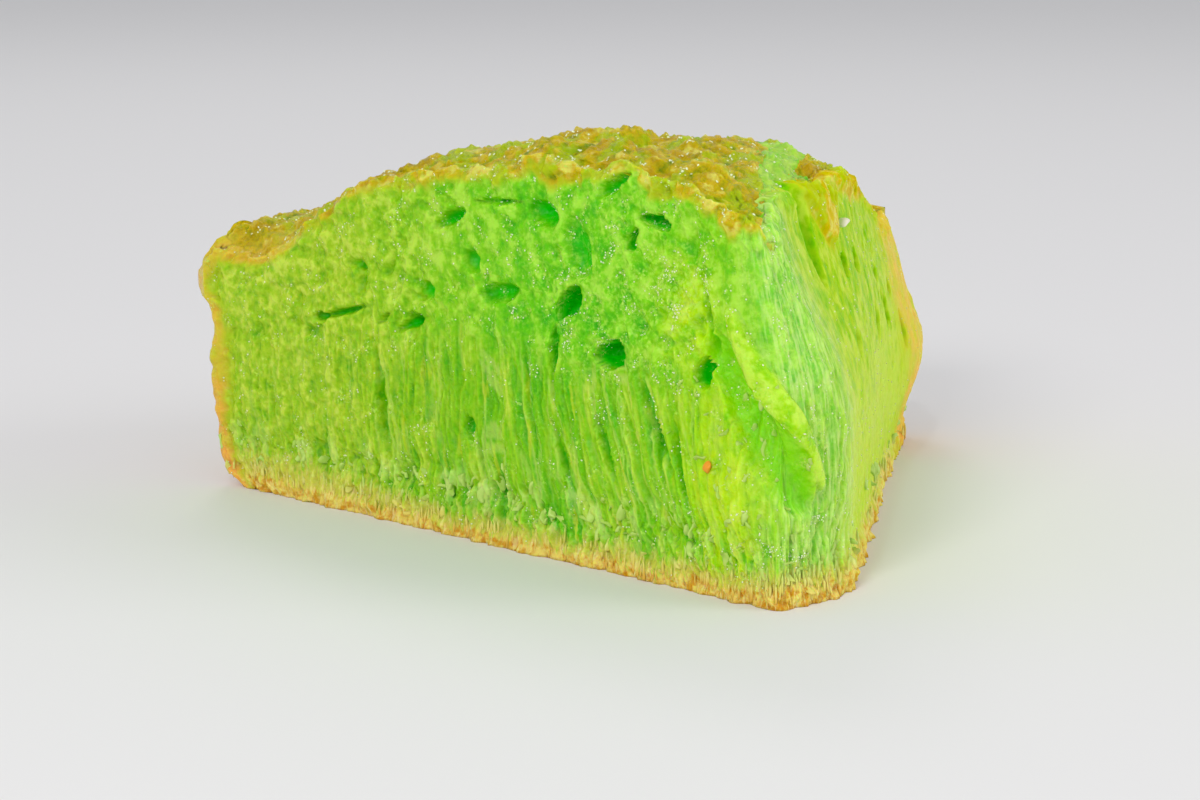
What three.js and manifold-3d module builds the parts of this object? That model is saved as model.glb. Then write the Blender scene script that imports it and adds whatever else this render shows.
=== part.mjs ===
// A slice of Vietnamese honeycomb cake, as one closed solid.
//
// It is a sixth or so of a round cake that rose into a low dome. Millimetres, +Z up, standing on its baked
// base, with the tip of the slice towards -Y and the round outer wall towards +Y. Two cut faces run back from
// the blunt tip. Steam tunnels rise through the crumb, so the knife leaves them on the cut faces as upright
// grooves, with pits and short cracks in the closer crumb above them. The origin is the middle of the
// slice's footprint.
//
// Lengths in plan are worked out about the axis of the whole cake, and the finished mesh is centred last.

import * as THREE from "three";
import { mergeVertices } from "three/addons/utils/BufferGeometryUtils.js";
import Module from "manifold-3d";

// Plan of the slice, about the axis of the whole cake
const CAKE_RADIUS = 115;
const TIP_LEFT = new THREE.Vector2(-4.9, 7.8);
const TIP_RIGHT = new THREE.Vector2(6.3, 12.8);
const LEFT_CUT_ANGLE = THREE.MathUtils.degToRad(116.8);
const RIGHT_CUT_ANGLE = THREE.MathUtils.degToRad(61.2);
const TIP_ROUNDING = 3.5;
const RIM_ROUNDING = 1.8;

// Top of the cake: a flat-topped dome that falls to a level shoulder at the rim
const DOME_HEIGHT = 55;
const RIM_HEIGHT = 38.8;
const DOME_RADIUS = 104;
const DOME_POWER = 4;
const TIP_SAG = 4;
const TIP_SAG_REACH = 10;
const DROOP_ON_DOME = 1.9;
const DROOP_ON_SHOULDER = 4.2;
const DROOP_AT_RIM = 1.2;
const DROOP_REACH = 4;
const SHOULDER_FROM_RADIUS = 78;
const RIGHT_FALL = 3.8;
const RIGHT_FALL_REACH = 13;

// Outer wall, as the tin left it: rounded at the foot, leaning out a little, with a lip under the top
const FOOT_TUCK = 4.5;
const FOOT_ROUNDING = 6;
const WALL_LEAN = 1.6;
const LIP_HEIGHT = 29;
const LIP_REACH = 3;
const LIP_HALF_HEIGHT = 3.2;
const FLARE_FROM_RADIUS = 88;

// Right cut face: it leans inwards, most of all near the tip, and the crust bows out at the back
const LEAN_FROM = 20;
const LEAN_TO = 50;
const LEAN_AT_TIP = 9.5;
const LEAN_AT_BACK = 5;
const LEAN_REACH = 26;
const BOW_OUT = 3.7;
const BOW_HEIGHT = 14;
const BOW_HALF_HEIGHT = 9;
const BOW_LENGTH = 45;

// Torn tip: it is set back at the top. A flap of crumb slants down across it, with a hollow beside the flap
// and a swelling under the hollow. The flap and the hollow are egg shapes, given like the pits below.
const TIP_SETBACK = 5;
const TIP_SETBACK_REACH = 10;
const HOLLOW = { along: 4.6, up: 22.8, wide: 3.5, tall: 13, turn: -36, deep: 4.6 };
const FLAP = { along: 2.4, up: 29, wide: 2.1, tall: 8.8, turn: -32, deep: 1.8 };
const SWELLING = { along: 7.6, up: 12.5, wide: 5.5, tall: 7.5, out: 1.7 };

// Steam tunnels, which fan out towards the tip near the base
const LEFT_TUNNEL_PITCH = 2.45;
const RIGHT_TUNNEL_PITCH = 2.9;
const TIP_TUNNEL_PITCH = 1.75;
const TUNNEL_DEPTH = 1.25;
const TUNNEL_TOP = 27;
const TUNNEL_TOP_SPREAD = 9;
const FAN_REACH = 8;
const FAN_CENTRE = 28;
const FAN_SPREAD = 20;
const FAN_HEIGHT = 26;
const FAN_POWER = 1.3;
const WAVER = 0.35;

// Roughness
const CRUMB_BUMP = 1.1;
const CRUMB_BUMP_SIZE = 3.6;
const CRAG = 1.5;
const CRAG_SIZE = 7;
const FINE_CRAG = 1.0;
const FINE_CRAG_SIZE = 3.4;
const WALL_BUMP = 0.8;
const WALL_BUMP_SIZE = 5;
const CRUST_THICKNESS = 1.8;
const CRUST_OVERHANG = 0.6;
const CRUST_RAG = 4;

// Pits and cracks of the left cut face: distance back from the tip, height, half length, half height,
// turn in degrees (positive lifts the end towards the rim) and depth
const LEFT_PITS = [
  { along: 36.5, up: 33.4, wide: 2.1, tall: 3.0, turn: -28, deep: 4.2 },
  { along: 38.8, up: 26.8, wide: 0.75, tall: 5.0, turn: -14, deep: 2.4 },
  { along: 29.2, up: 28.0, wide: 3.3, tall: 2.0, turn: -8, deep: 4.2 },
  { along: 12.6, up: 28.4, wide: 2.0, tall: 2.2, turn: 0, deep: 3.4 },
  { along: 25.2, up: 42.8, wide: 0.9, tall: 1.5, turn: -20, deep: 3.2 },
  { along: 21.4, up: 45.4, wide: 3.0, tall: 0.9, turn: 6, deep: 3.0 },
  { along: 34.1, up: 41.0, wide: 3.0, tall: 3.5, turn: 10, deep: 2.2 },
  { along: 40.8, up: 44.8, wide: 3.2, tall: 1.9, turn: 14, deep: 2.8 },
  { along: 57.6, up: 42.7, wide: 3.9, tall: 1.3, turn: -18, deep: 2.4 },
  { along: 48.4, up: 33.9, wide: 3.8, tall: 1.5, turn: -6, deep: 2.8 },
  { along: 62.3, up: 32.6, wide: 2.0, tall: 1.5, turn: -16, deep: 2.3 },
  { along: 53.5, up: 37.4, wide: 1.6, tall: 1.9, turn: -24, deep: 2.0 },
  { along: 78.3, up: 27.2, wide: 6.4, tall: 0.85, turn: -8, deep: 2.6 },
  { along: 65.5, up: 27.8, wide: 3.2, tall: 1.0, turn: -24, deep: 2.8 },
  { along: 75.8, up: 34.6, wide: 2.1, tall: 1.2, turn: 0, deep: 1.8 },
  { along: 28.4, up: 49.4, wide: 3.4, tall: 1.0, turn: -28, deep: 2.4 },
  { along: 29.6, up: 15.4, wide: 0.9, tall: 4.4, turn: -34, deep: 2.4 },
  { along: 20.2, up: 19.4, wide: 1.0, tall: 7.6, turn: -27, deep: 2.4 },
  { along: 16.6, up: 20.6, wide: 0.8, tall: 5.2, turn: -24, deep: 2.2 },
  { along: 71.5, up: 16.0, wide: 1.1, tall: 8.0, turn: -7, deep: 2.2 },
  { along: 56.0, up: 14.6, wide: 1.3, tall: 1.9, turn: 0, deep: 2.0 },
];
const RIGHT_PIT_COUNT = 9;
const DEEP_PIT = 4;
const PIT_UNEVENNESS = 0.24;
const PIT_LUMP_SIZE = 0.53;

// Fineness of the mesh
const RIM_STEP = 3.2;
const ROWS = 12;
const TOP_LINES = 32;
const TOP_STEP = 3.4;
const TOP_INSET = 2;
const TOP_START = 5;

const { smoothstep, lerp } = THREE.MathUtils;
const bell = (x) => Math.exp(-x * x);

// A repeatable number from 0 to 1 for whole numbers i, j and k
function hash(i, j, k) {
  let h = Math.imul(i, 374761393) ^ Math.imul(j, 668265263) ^ Math.imul(k, 1442695041);
  h = Math.imul(h ^ (h >>> 13), 1274126177);
  return ((h ^ (h >>> 16)) >>> 0) / 4294967296;
}

// Smooth noise from -1 to 1, with one feature for each unit of length
function noise(x, y, z) {
  const cell = [x, y, z].map(Math.floor);
  const [u, v, w] = [x, y, z].map((value, axis) => smoothstep(value - cell[axis], 0, 1));
  const corner = (i, j, k) => hash(cell[0] + i, cell[1] + j, cell[2] + k);
  const edge = (j, k) => lerp(corner(0, j, k), corner(1, j, k), u);
  const face = (k) => lerp(edge(0, k), edge(1, k), v);
  return 2 * lerp(face(0), face(1), w) - 1;
}

// Where a cut face meets the outer wall, and how long the face is
function rimCorner(start, angle) {
  const along = new THREE.Vector2(Math.cos(angle), Math.sin(angle));
  const b = start.dot(along);
  const length = Math.sqrt(b * b - start.lengthSq() + CAKE_RADIUS ** 2) - b;
  return { corner: start.clone().addScaledVector(along, length), length };
}
const left = rimCorner(TIP_LEFT, LEFT_CUT_ANGLE);
const right = rimCorner(TIP_RIGHT, RIGHT_CUT_ANGLE);

// The outline of the slice in plan, as a path from the left corner of the tip, back along the left cut face,
// round the outer wall and forward along the right cut face to the tip again
function slicePath() {
  const stepFrom = (from, to, distance) => from.clone().lerp(to, distance / from.distanceTo(to));
  const leftTurn = left.corner.angle();
  const rightTurn = right.corner.angle();
  const turn = RIM_ROUNDING / CAKE_RADIUS;
  const rimAt = (turned) => new THREE.Vector2(Math.cos(turned), Math.sin(turned)).multiplyScalar(CAKE_RADIUS);
  const path = new THREE.Path();
  const start = stepFrom(TIP_LEFT, left.corner, TIP_ROUNDING);
  path.moveTo(start.x, start.y);
  const leftEnd = stepFrom(left.corner, TIP_LEFT, RIM_ROUNDING);
  path.lineTo(leftEnd.x, leftEnd.y);
  const rimStart = rimAt(leftTurn - turn);
  path.quadraticCurveTo(left.corner.x, left.corner.y, rimStart.x, rimStart.y);
  path.absarc(0, 0, CAKE_RADIUS, leftTurn - turn, rightTurn + turn, true);
  const rightStart = stepFrom(right.corner, TIP_RIGHT, RIM_ROUNDING);
  path.quadraticCurveTo(right.corner.x, right.corner.y, rightStart.x, rightStart.y);
  const rightEnd = stepFrom(TIP_RIGHT, right.corner, TIP_ROUNDING);
  path.lineTo(rightEnd.x, rightEnd.y);
  const tipStart = stepFrom(TIP_RIGHT, TIP_LEFT, TIP_ROUNDING);
  path.quadraticCurveTo(TIP_RIGHT.x, TIP_RIGHT.y, tipStart.x, tipStart.y);
  const tipEnd = stepFrom(TIP_LEFT, TIP_RIGHT, TIP_ROUNDING);
  path.lineTo(tipEnd.x, tipEnd.y);
  path.quadraticCurveTo(TIP_LEFT.x, TIP_LEFT.y, start.x, start.y);
  return path;
}

const PATH_STEP = 0.25;
const outline = slicePath();
const outlineLength = outline.getLength();
const outlinePoints = outline.getSpacedPoints(Math.round(outlineLength / PATH_STEP));
outlinePoints.pop();

// Place and outward direction on the outline, at a distance from the left corner of the tip: positive along
// the left cut face, negative across the tip and along the right cut face
function outlineAt(distance) {
  const count = outlinePoints.length;
  const step = outlineLength / count;
  const place = (((distance - TIP_ROUNDING) / step) % count + count) % count;
  const index = Math.floor(place);
  const point = (offset) => outlinePoints[(index + offset + count) % count];
  const near = point(0).clone().lerp(point(1), place - index);
  const along = point(4).clone().sub(point(-3)).normalize();
  return { near, out: new THREE.Vector2(-along.y, along.x) };
}
const leftEnd = left.length;
const rightStart = -TIP_LEFT.distanceTo(TIP_RIGHT);
const rightEnd = rightStart - right.length;
const LEFT_ALONG = new THREE.Vector2(Math.cos(LEFT_CUT_ANGLE), Math.sin(LEFT_CUT_ANGLE));
const LEFT_OUT = new THREE.Vector2(-LEFT_ALONG.y, LEFT_ALONG.x);
const RIGHT_ALONG = new THREE.Vector2(Math.cos(RIGHT_CUT_ANGLE), Math.sin(RIGHT_CUT_ANGLE));
const RIGHT_OUT = new THREE.Vector2(RIGHT_ALONG.y, -RIGHT_ALONG.x);
const onCutFace = (distance) => distance > rightEnd && distance < leftEnd;

// How far the right face leans inwards at its top, at a distance back from the tip
function leanDepth(back) {
  return LEAN_AT_BACK + (LEAN_AT_TIP - LEAN_AT_BACK) * bell(Math.max(0, back) / LEAN_REACH);
}

// Height of the dome over a place in plan. It droops at its edges, and has crags.
function topHeight(x, y) {
  const place = new THREE.Vector2(x, y);
  const fromRight = TIP_RIGHT.clone().sub(place);
  const inside = fromRight.dot(RIGHT_OUT) - leanDepth(-fromRight.dot(RIGHT_ALONG));
  const fromFace = Math.max(0, Math.min(inside, TIP_LEFT.clone().sub(place).dot(LEFT_OUT)));
  const radius = place.length();
  const dome = lerp(DOME_HEIGHT, RIM_HEIGHT, Math.min(1, radius / DOME_RADIUS) ** DOME_POWER);
  const onShoulder = smoothstep(radius, SHOULDER_FROM_RADIUS, DOME_RADIUS);
  const droop = lerp(DROOP_ON_DOME, DROOP_ON_SHOULDER, onShoulder) * bell(fromFace / DROOP_REACH);
  const rimDroop = DROOP_AT_RIM * bell(Math.max(0, CAKE_RADIUS - radius) / DROOP_REACH);
  const fall = RIGHT_FALL * bell(Math.max(0, inside) / RIGHT_FALL_REACH) * (1 - onShoulder);
  const sag = TIP_SAG * bell(place.distanceTo(TIP_LEFT) / TIP_SAG_REACH);
  const crag = CRAG * noise(x / CRAG_SIZE, y / CRAG_SIZE, 3.5);
  const fine = FINE_CRAG * noise(x / FINE_CRAG_SIZE, y / FINE_CRAG_SIZE, 9.5);
  return dome - sag - Math.max(droop, rimDroop) - fall + crag + fine;
}

// The tin's shape, as a shift away from the axis of the cake
function flare(x, y, z) {
  const radius = Math.hypot(x, y);
  const foot = FOOT_TUCK * Math.max(0, 1 - z / FOOT_ROUNDING) ** 2;
  const lip = LIP_REACH * bell((z - LIP_HEIGHT) / LIP_HALF_HEIGHT);
  const shift = (WALL_LEAN * z) / RIM_HEIGHT + lip - foot;
  const share = smoothstep(radius, FLARE_FROM_RADIUS, CAKE_RADIUS);
  const scale = 1 + (share * shift) / radius;
  return new THREE.Vector3(x * scale, y * scale, z);
}

// Large forms of the walls, as a distance outwards: the bow at the back, the swelling and the crust's edge
function wallForm(distance, z, edge) {
  if (!onCutFace(distance)) return 0;
  const back = smoothstep(-distance, -rightEnd - BOW_LENGTH, -rightEnd - 8);
  const bow = BOW_OUT * back * bell((z - BOW_HEIGHT) / BOW_HALF_HEIGHT);
  const { along, up, wide, tall, out } = SWELLING;
  const swelling = out * bell((distance - along) / wide) * bell((z - up) / tall);
  const ragged = CRUST_OVERHANG * (1 + noise(distance / CRUST_RAG, 2.5, 8.5));
  return bow + swelling + ragged * smoothstep(z, edge - 2 * CRUST_THICKNESS, edge - CRUST_THICKNESS);
}

// Shift in plan that leans the right face inwards and sets the tip back, at full height
function leanAt(distance) {
  const share = bell(Math.max(0, distance) / TIP_SETBACK_REACH);
  const setback = LEFT_ALONG.clone().multiplyScalar(TIP_SETBACK * share);
  if (distance >= 0) return setback;
  const right = RIGHT_OUT.clone().multiplyScalar(-leanDepth(rightStart - distance));
  return setback.lerp(right, Math.min(1, distance / rightStart));
}
const leanShare = (z) => smoothstep(z, LEAN_FROM, LEAN_TO);

// Bumps of the crumb on the cut faces, and of the crust on the outer wall
function wallBumps(distance, z, near) {
  if (!onCutFace(distance)) {
    const onLip = 1 + bell((z - LIP_HEIGHT) / LIP_HALF_HEIGHT);
    const [x, y, up] = [near.x, near.y, z].map((value) => value / WALL_BUMP_SIZE);
    return WALL_BUMP * onLip * noise(x, y, up);
  }
  const high = 0.35 + 0.65 * smoothstep(z, TUNNEL_TOP - 8, TUNNEL_TOP + 6);
  return CRUMB_BUMP * high * noise(distance / CRUMB_BUMP_SIZE, z / CRUMB_BUMP_SIZE, 5.5);
}

// Upright lines of the mesh. Each tunnel has a ridge line and one or two lines on its floor, given by their
// share of the tunnel's width and of its depth.
const NARROW_TUNNEL = [[0, 0], [0.5, 1]];
const WIDE_TUNNEL = [[0, 0], [0.3, 1], [0.68, 0.85]];

function tunnelColumns(from, to, pitch, seed, lines) {
  const count = Math.round((to - from) / pitch);
  const columns = [];
  for (let i = 0; i < count; i++) {
    const begins = i + 0.35 * (hash(i, seed, 1) - 0.5);
    const deep = TUNNEL_DEPTH * (0.45 + 0.9 * hash(i, seed, 2));
    const top = TUNNEL_TOP + TUNNEL_TOP_SPREAD * (hash(i, seed, 3) - 0.5);
    for (const [shift, share] of lines) {
      const distance = from + (begins + shift) * ((to - from) / count);
      columns.push({ distance, deep: deep * share, top, seed: i });
    }
  }
  return columns;
}

// Upright lines without tunnels, for the outer wall
function plainColumns(from, to, step) {
  const count = Math.round((to - from) / step);
  return Array.from({ length: count }, (_, i) => ({ distance: from + ((to - from) * i) / count, deep: 0 }));
}

const sides = {
  right: tunnelColumns(rightEnd, rightStart, RIGHT_TUNNEL_PITCH, 11, NARROW_TUNNEL),
  tip: tunnelColumns(rightStart, 0, TIP_TUNNEL_PITCH, 23, NARROW_TUNNEL),
  left: tunnelColumns(0, leftEnd, LEFT_TUNNEL_PITCH, 37, WIDE_TUNNEL),
  rim: plainColumns(leftEnd, outlineLength + rightEnd, RIM_STEP),
};
const columns = [...sides.right, ...sides.tip, ...sides.left, ...sides.rim];

// How far the tunnels stray along the wall at a height
function strandShift(distance, z) {
  const low = Math.max(0, 1 - z / FAN_HEIGHT);
  const fan = FAN_REACH * bell((distance - FAN_CENTRE) / FAN_SPREAD) * low ** FAN_POWER;
  return WAVER * noise(distance / 3, z / 6, 1.5) - fan;
}

// Depth of a tunnel's groove, which fades out at the base and at the tunnel's top
function tunnelFloor(column, z) {
  if (!column.deep) return 0;
  const ends = smoothstep(z, 1, 3.5) * (1 - smoothstep(z, column.top - 5, column.top + 2));
  return column.deep * ends * (0.75 + 0.25 * noise(column.seed + 0.5, z / 5, 7.5));
}

// Place in plan of the wall's top edge, and its height
function edgePlace(distance) {
  const place = outlineAt(distance).near.clone().add(leanAt(distance));
  return new THREE.Vector3(place.x, place.y, topHeight(place.x, place.y));
}

// A vertex of the wall
function wallPoint(column, row) {
  const edge = edgePlace(column.distance).z;
  const z = (edge * row) / ROWS;
  const distance = column.distance + (onCutFace(column.distance) ? strandShift(column.distance, z) : 0);
  const { near, out } = outlineAt(distance);
  const bumps = z > 0 ? wallBumps(distance, z, near) : 0;
  const place = near
    .clone()
    .addScaledVector(leanAt(distance), leanShare(z))
    .addScaledVector(out, wallForm(distance, z, edge) + bumps - tunnelFloor(column, z));
  return flare(place.x, place.y, z);
}

// A line of places across the top, from the left face to the right one, at a share of the way back to the rim
function topLine(share) {
  const a = edgePlace(lerp(TOP_START, leftEnd - TOP_INSET, share));
  const b = edgePlace(lerp(rightStart - TOP_START, rightEnd + TOP_INSET, share));
  const width = a.distanceTo(b);
  const count = Math.max(2, Math.round((width - 2 * TOP_INSET) / TOP_STEP));
  const bulge = share ** 3 * (CAKE_RADIUS - TOP_INSET - Math.hypot((a.x + b.x) / 2, (a.y + b.y) / 2));
  return Array.from({ length: count + 1 }, (_, i) => {
    const across = lerp(TOP_INSET / width, 1 - TOP_INSET / width, i / count);
    const p = a.clone().lerp(b, across);
    p.y += Math.max(0, bulge) * (1 - (2 * across - 1) ** 2);
    return flare(p.x, p.y, topHeight(p.x, p.y));
  });
}

// Vertices and triangles of the slice
const points = [];
const triangles = [];
const addPoint = (p) => points.push(p) - 1;

const wall = columns.map((column) =>
  Array.from({ length: ROWS + 1 }, (_, row) => addPoint(wallPoint(column, row))),
);
wall.forEach((column, i) => {
  const next = wall[(i + 1) % wall.length];
  for (let row = 0; row < ROWS; row++) {
    triangles.push([column[row], column[row + 1], next[row + 1]]);
    triangles.push([column[row], next[row + 1], next[row]]);
  }
});

// Joins two lines of vertices that run the same way, the outer one on the left, with a strip of triangles
function joinLines(outer, inner) {
  let [i, j] = [0, 0];
  while (i < outer.length - 1 || j < inner.length - 1) {
    const outerNext = (i + 1) / (outer.length - 1);
    const innerNext = (j + 1) / (inner.length - 1);
    if (j >= inner.length - 1 || (i < outer.length - 1 && outerNext <= innerNext)) {
      triangles.push([outer[i], outer[i + 1], inner[j]].reverse());
      i++;
    } else {
      triangles.push([outer[i], inner[j + 1], inner[j]].reverse());
      j++;
    }
  }
}

const top = Array.from({ length: TOP_LINES + 1 }, (_, i) => topLine(i / TOP_LINES).map(addPoint));
for (let i = 0; i < TOP_LINES; i++) joinLines(top[i + 1], top[i]);

const starts = { right: 0 };
starts.tip = starts.right + sides.right.length;
starts.left = starts.tip + sides.tip.length;
starts.rim = starts.left + sides.left.length;
const edgeLine = (from, to) => {
  const line = wall.slice(from, to + 1).map((column) => column[ROWS]);
  return to >= wall.length ? [...line, wall[0][ROWS]] : line;
};
const reversed = (line) => [...line].reverse();
joinLines(edgeLine(starts.right, starts.tip), reversed(top.map((line) => line.at(-1))));
joinLines(edgeLine(starts.tip, starts.left), reversed(top[0]));
joinLines(edgeLine(starts.left, starts.rim), top.map((line) => line[0]));
joinLines(edgeLine(starts.rim, wall.length), top[TOP_LINES]);

// The base is a fan of triangles from its middle
const footLine = wall.map((column) => column[0]);
const footMiddle = new THREE.Vector3();
footLine.forEach((index) => footMiddle.addScaledVector(points[index], 1 / footLine.length));
const middle = addPoint(footMiddle);
footLine.forEach((index, i) => triangles.push([index, footLine[(i + 1) % footLine.length], middle]));

// Closed solids, for adding the flap and for cutting the hollow and the pits
const wasm = await Module();
wasm.setup();

function solidFrom(geometry) {
  const bare = new THREE.BufferGeometry().setAttribute("position", geometry.getAttribute("position"));
  if (geometry.index) bare.setIndex(geometry.index);
  const merged = mergeVertices(bare, 1e-4);
  return new wasm.Manifold(
    new wasm.Mesh({
      numProp: 3,
      vertProperties: merged.attributes.position.array,
      triVerts: new Uint32Array(merged.index.array),
    }),
  );
}

function geometryFrom(solid) {
  const mesh = solid.getMesh();
  return new THREE.BufferGeometry()
    .setAttribute("position", new THREE.BufferAttribute(mesh.vertProperties, 3))
    .setIndex(new THREE.BufferAttribute(mesh.triVerts, 1));
}

// An uneven egg shape with its middle on the cut face. One that goes deep has finer facets.
function eggSolid(pit, seed) {
  const ball = new THREE.IcosahedronGeometry(1, pit.deep > DEEP_PIT ? 2 : 1);
  const egg = mergeVertices(ball.deleteAttribute("normal").deleteAttribute("uv"), 1e-4);
  const position = egg.getAttribute("position");
  const p = new THREE.Vector3();
  for (let i = 0; i < position.count; i++) {
    p.fromBufferAttribute(position, i);
    const [x, y, z] = p.toArray().map((value) => value / PIT_LUMP_SIZE);
    p.multiplyScalar(1 + PIT_UNEVENNESS * noise(x + seed, y, z));
    position.setXYZ(i, p.x, p.y, p.z);
  }
  const { near, out } = outlineAt(pit.along);
  const surface = near.clone().addScaledVector(leanAt(pit.along), leanShare(pit.up));
  const axes = new THREE.Matrix4().makeBasis(
    new THREE.Vector3(out.y, -out.x, 0),
    new THREE.Vector3(out.x, out.y, 0),
    new THREE.Vector3(0, 0, 1),
  );
  const turn = new THREE.Matrix4().makeRotationY(THREE.MathUtils.degToRad(-pit.turn));
  const size = new THREE.Matrix4().makeScale(pit.wide, pit.deep, pit.tall);
  const place = new THREE.Matrix4().makeTranslation(surface.x, surface.y, pit.up);
  egg.applyMatrix4(place.multiply(axes).multiply(turn).multiply(size));
  return solidFrom(egg);
}

// Pits of the right cut face, strewn through its upper crumb
function rightPits() {
  return Array.from({ length: RIGHT_PIT_COUNT }, (_, i) => ({
    along: lerp(rightStart - 12, rightEnd + 14, (i + hash(i, 5, 1)) / RIGHT_PIT_COUNT),
    up: 26 + 14 * hash(i, 5, 2) - (i * 8) / RIGHT_PIT_COUNT,
    wide: 1.2 + 1.8 * hash(i, 5, 3),
    tall: 1.2 + 1.6 * hash(i, 5, 4),
    turn: 40 * hash(i, 5, 5) - 20,
    deep: 2.0 + 1.2 * hash(i, 5, 6),
  }));
}

// The slice with its tip torn and its pits cut
function sliceSolid() {
  const position = new Float32Array(points.flatMap((p) => [p.x, p.y, p.z]));
  const whole = new THREE.BufferGeometry()
    .setAttribute("position", new THREE.BufferAttribute(position, 3))
    .setIndex(triangles.flat());
  let solid = solidFrom(whole).subtract(eggSolid(HOLLOW, 31)).add(eggSolid(FLAP, 32));
  [...LEFT_PITS, ...rightPits()].forEach((pit, i) => {
    solid = solid.subtract(eggSolid(pit, i));
  });
  return solid;
}

// Centres the footprint on the origin, with the base at height zero
const geometry = geometryFrom(sliceSolid());
geometry.computeBoundingBox();
const box = geometry.boundingBox;
geometry.translate(-(box.min.x + box.max.x) / 2, -(box.min.y + box.max.y) / 2, -box.min.z);

// Pandan-green crumb: moist and springy, so a little glossy
const crumb = new THREE.MeshStandardMaterial({ color: 0x93c42c, roughness: 0.42, metalness: 0 });
const cake = new THREE.Mesh(geometry, crumb);
cake.name = "honeycomb_cake";

const slice = new THREE.Group();
slice.add(cake);

export default slice;
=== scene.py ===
import math

import bmesh
import bpy
import numpy as np
from mathutils import Matrix, Vector


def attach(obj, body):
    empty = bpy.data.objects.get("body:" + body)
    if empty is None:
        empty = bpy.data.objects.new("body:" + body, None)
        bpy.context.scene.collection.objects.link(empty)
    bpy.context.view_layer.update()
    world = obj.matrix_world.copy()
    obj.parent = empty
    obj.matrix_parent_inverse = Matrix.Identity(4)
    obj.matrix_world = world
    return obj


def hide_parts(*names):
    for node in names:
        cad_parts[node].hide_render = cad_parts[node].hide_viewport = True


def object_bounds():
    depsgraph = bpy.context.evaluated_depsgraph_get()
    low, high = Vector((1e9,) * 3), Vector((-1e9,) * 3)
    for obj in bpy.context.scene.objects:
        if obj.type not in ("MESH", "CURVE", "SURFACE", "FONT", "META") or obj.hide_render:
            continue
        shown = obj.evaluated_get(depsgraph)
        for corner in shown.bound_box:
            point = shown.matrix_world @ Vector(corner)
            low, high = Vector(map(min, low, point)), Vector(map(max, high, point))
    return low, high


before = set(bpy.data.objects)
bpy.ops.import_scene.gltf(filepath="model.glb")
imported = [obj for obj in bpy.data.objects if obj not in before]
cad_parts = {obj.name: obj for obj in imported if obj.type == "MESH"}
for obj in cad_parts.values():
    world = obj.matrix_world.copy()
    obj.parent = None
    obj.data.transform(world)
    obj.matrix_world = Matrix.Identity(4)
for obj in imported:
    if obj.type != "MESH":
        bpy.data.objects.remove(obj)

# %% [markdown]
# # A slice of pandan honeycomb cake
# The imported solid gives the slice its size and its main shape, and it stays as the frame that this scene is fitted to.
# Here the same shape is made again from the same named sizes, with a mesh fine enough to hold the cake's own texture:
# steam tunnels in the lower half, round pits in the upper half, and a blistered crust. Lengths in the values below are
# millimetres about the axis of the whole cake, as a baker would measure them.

MM = 0.001
cad_box = [list(corner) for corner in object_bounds()]
print("box of the solid, in metres:", cad_box)

# %% [markdown]
# ## Sizes of the slice
# These are the solid's own sizes, so that the fine surface lies on it. The cake rose into a flat-topped dome in a
# round tin, which gave its outer wall a small outward lean, a rounded foot and a lip.

# %% Sizes shared with the solid
CAKE_RADIUS = 115
TIP_LEFT = np.array([-4.9, 7.8])
TIP_RIGHT = np.array([6.3, 12.8])
LEFT_CUT_ANGLE = math.radians(116.8)
RIGHT_CUT_ANGLE = math.radians(61.2)
TIP_ROUNDING = 3.5
RIM_ROUNDING = 1.8
AXIS_FROM_CENTRE = np.array([2.049, 63.315])

DOME_HEIGHT = 55
RIM_HEIGHT = 38.8
DOME_RADIUS = 104
DOME_POWER = 4
TIP_SAG = 4
TIP_SAG_REACH = 10
DROOP_ON_DOME = 1.9
DROOP_ON_SHOULDER = 4.2
DROOP_AT_RIM = 1.2
DROOP_REACH = 4
SHOULDER_FROM_RADIUS = 78
RIGHT_FALL = 3.8
RIGHT_FALL_REACH = 13

FOOT_TUCK = 4.5
FOOT_ROUNDING = 6
WALL_LEAN = 1.6
LIP_HEIGHT = 29
LIP_REACH = 3
LIP_HALF_HEIGHT = 3.2
FLARE_FROM_RADIUS = 88

LEAN_FROM = 20
LEAN_TO = 50
LEAN_AT_TIP = 9.5
LEAN_AT_BACK = 5
LEAN_REACH = 26
BOW_OUT = 3.7
BOW_HEIGHT = 14
BOW_HALF_HEIGHT = 9
BOW_LENGTH = 45

TIP_SETBACK = 5
TIP_SETBACK_REACH = 10
FAN_REACH = 8
FAN_CENTRE = 28
FAN_SPREAD = 20
FAN_HEIGHT = 26
FAN_POWER = 1.3

CRAG = 1.5
CRAG_SIZE = 7
FINE_CRAG = 1.0
FINE_CRAG_SIZE = 3.4
WALL_BUMP = 0.8
WALL_BUMP_SIZE = 5

# %% [markdown]
# ## Repeatable noise
# Crags and lumps need randomness that comes out the same each time, and the same as in the solid. A small integer hash
# gives each grid point a number, and the noise eases from one to the next.


# %% Noise and easing
def bell(x):
    return np.exp(-np.square(x))


def ease(x, start, end):
    share = np.clip((np.asarray(x, float) - start) / (end - start), 0, 1)
    return share * share * (3 - 2 * share)


def mix(a, b, share):
    return a + (b - a) * share


def hash_number(i, j, k):
    with np.errstate(over="ignore"):
        i, j, k = (np.asarray(n, np.int64).astype(np.uint32) for n in (i, j, k))
        h = i * np.uint32(374761393) ^ j * np.uint32(668265263) ^ k * np.uint32(1442695041)
        h = (h ^ (h >> np.uint32(13))) * np.uint32(1274126177)
    return (h ^ (h >> np.uint32(16))) / 4294967296


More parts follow.
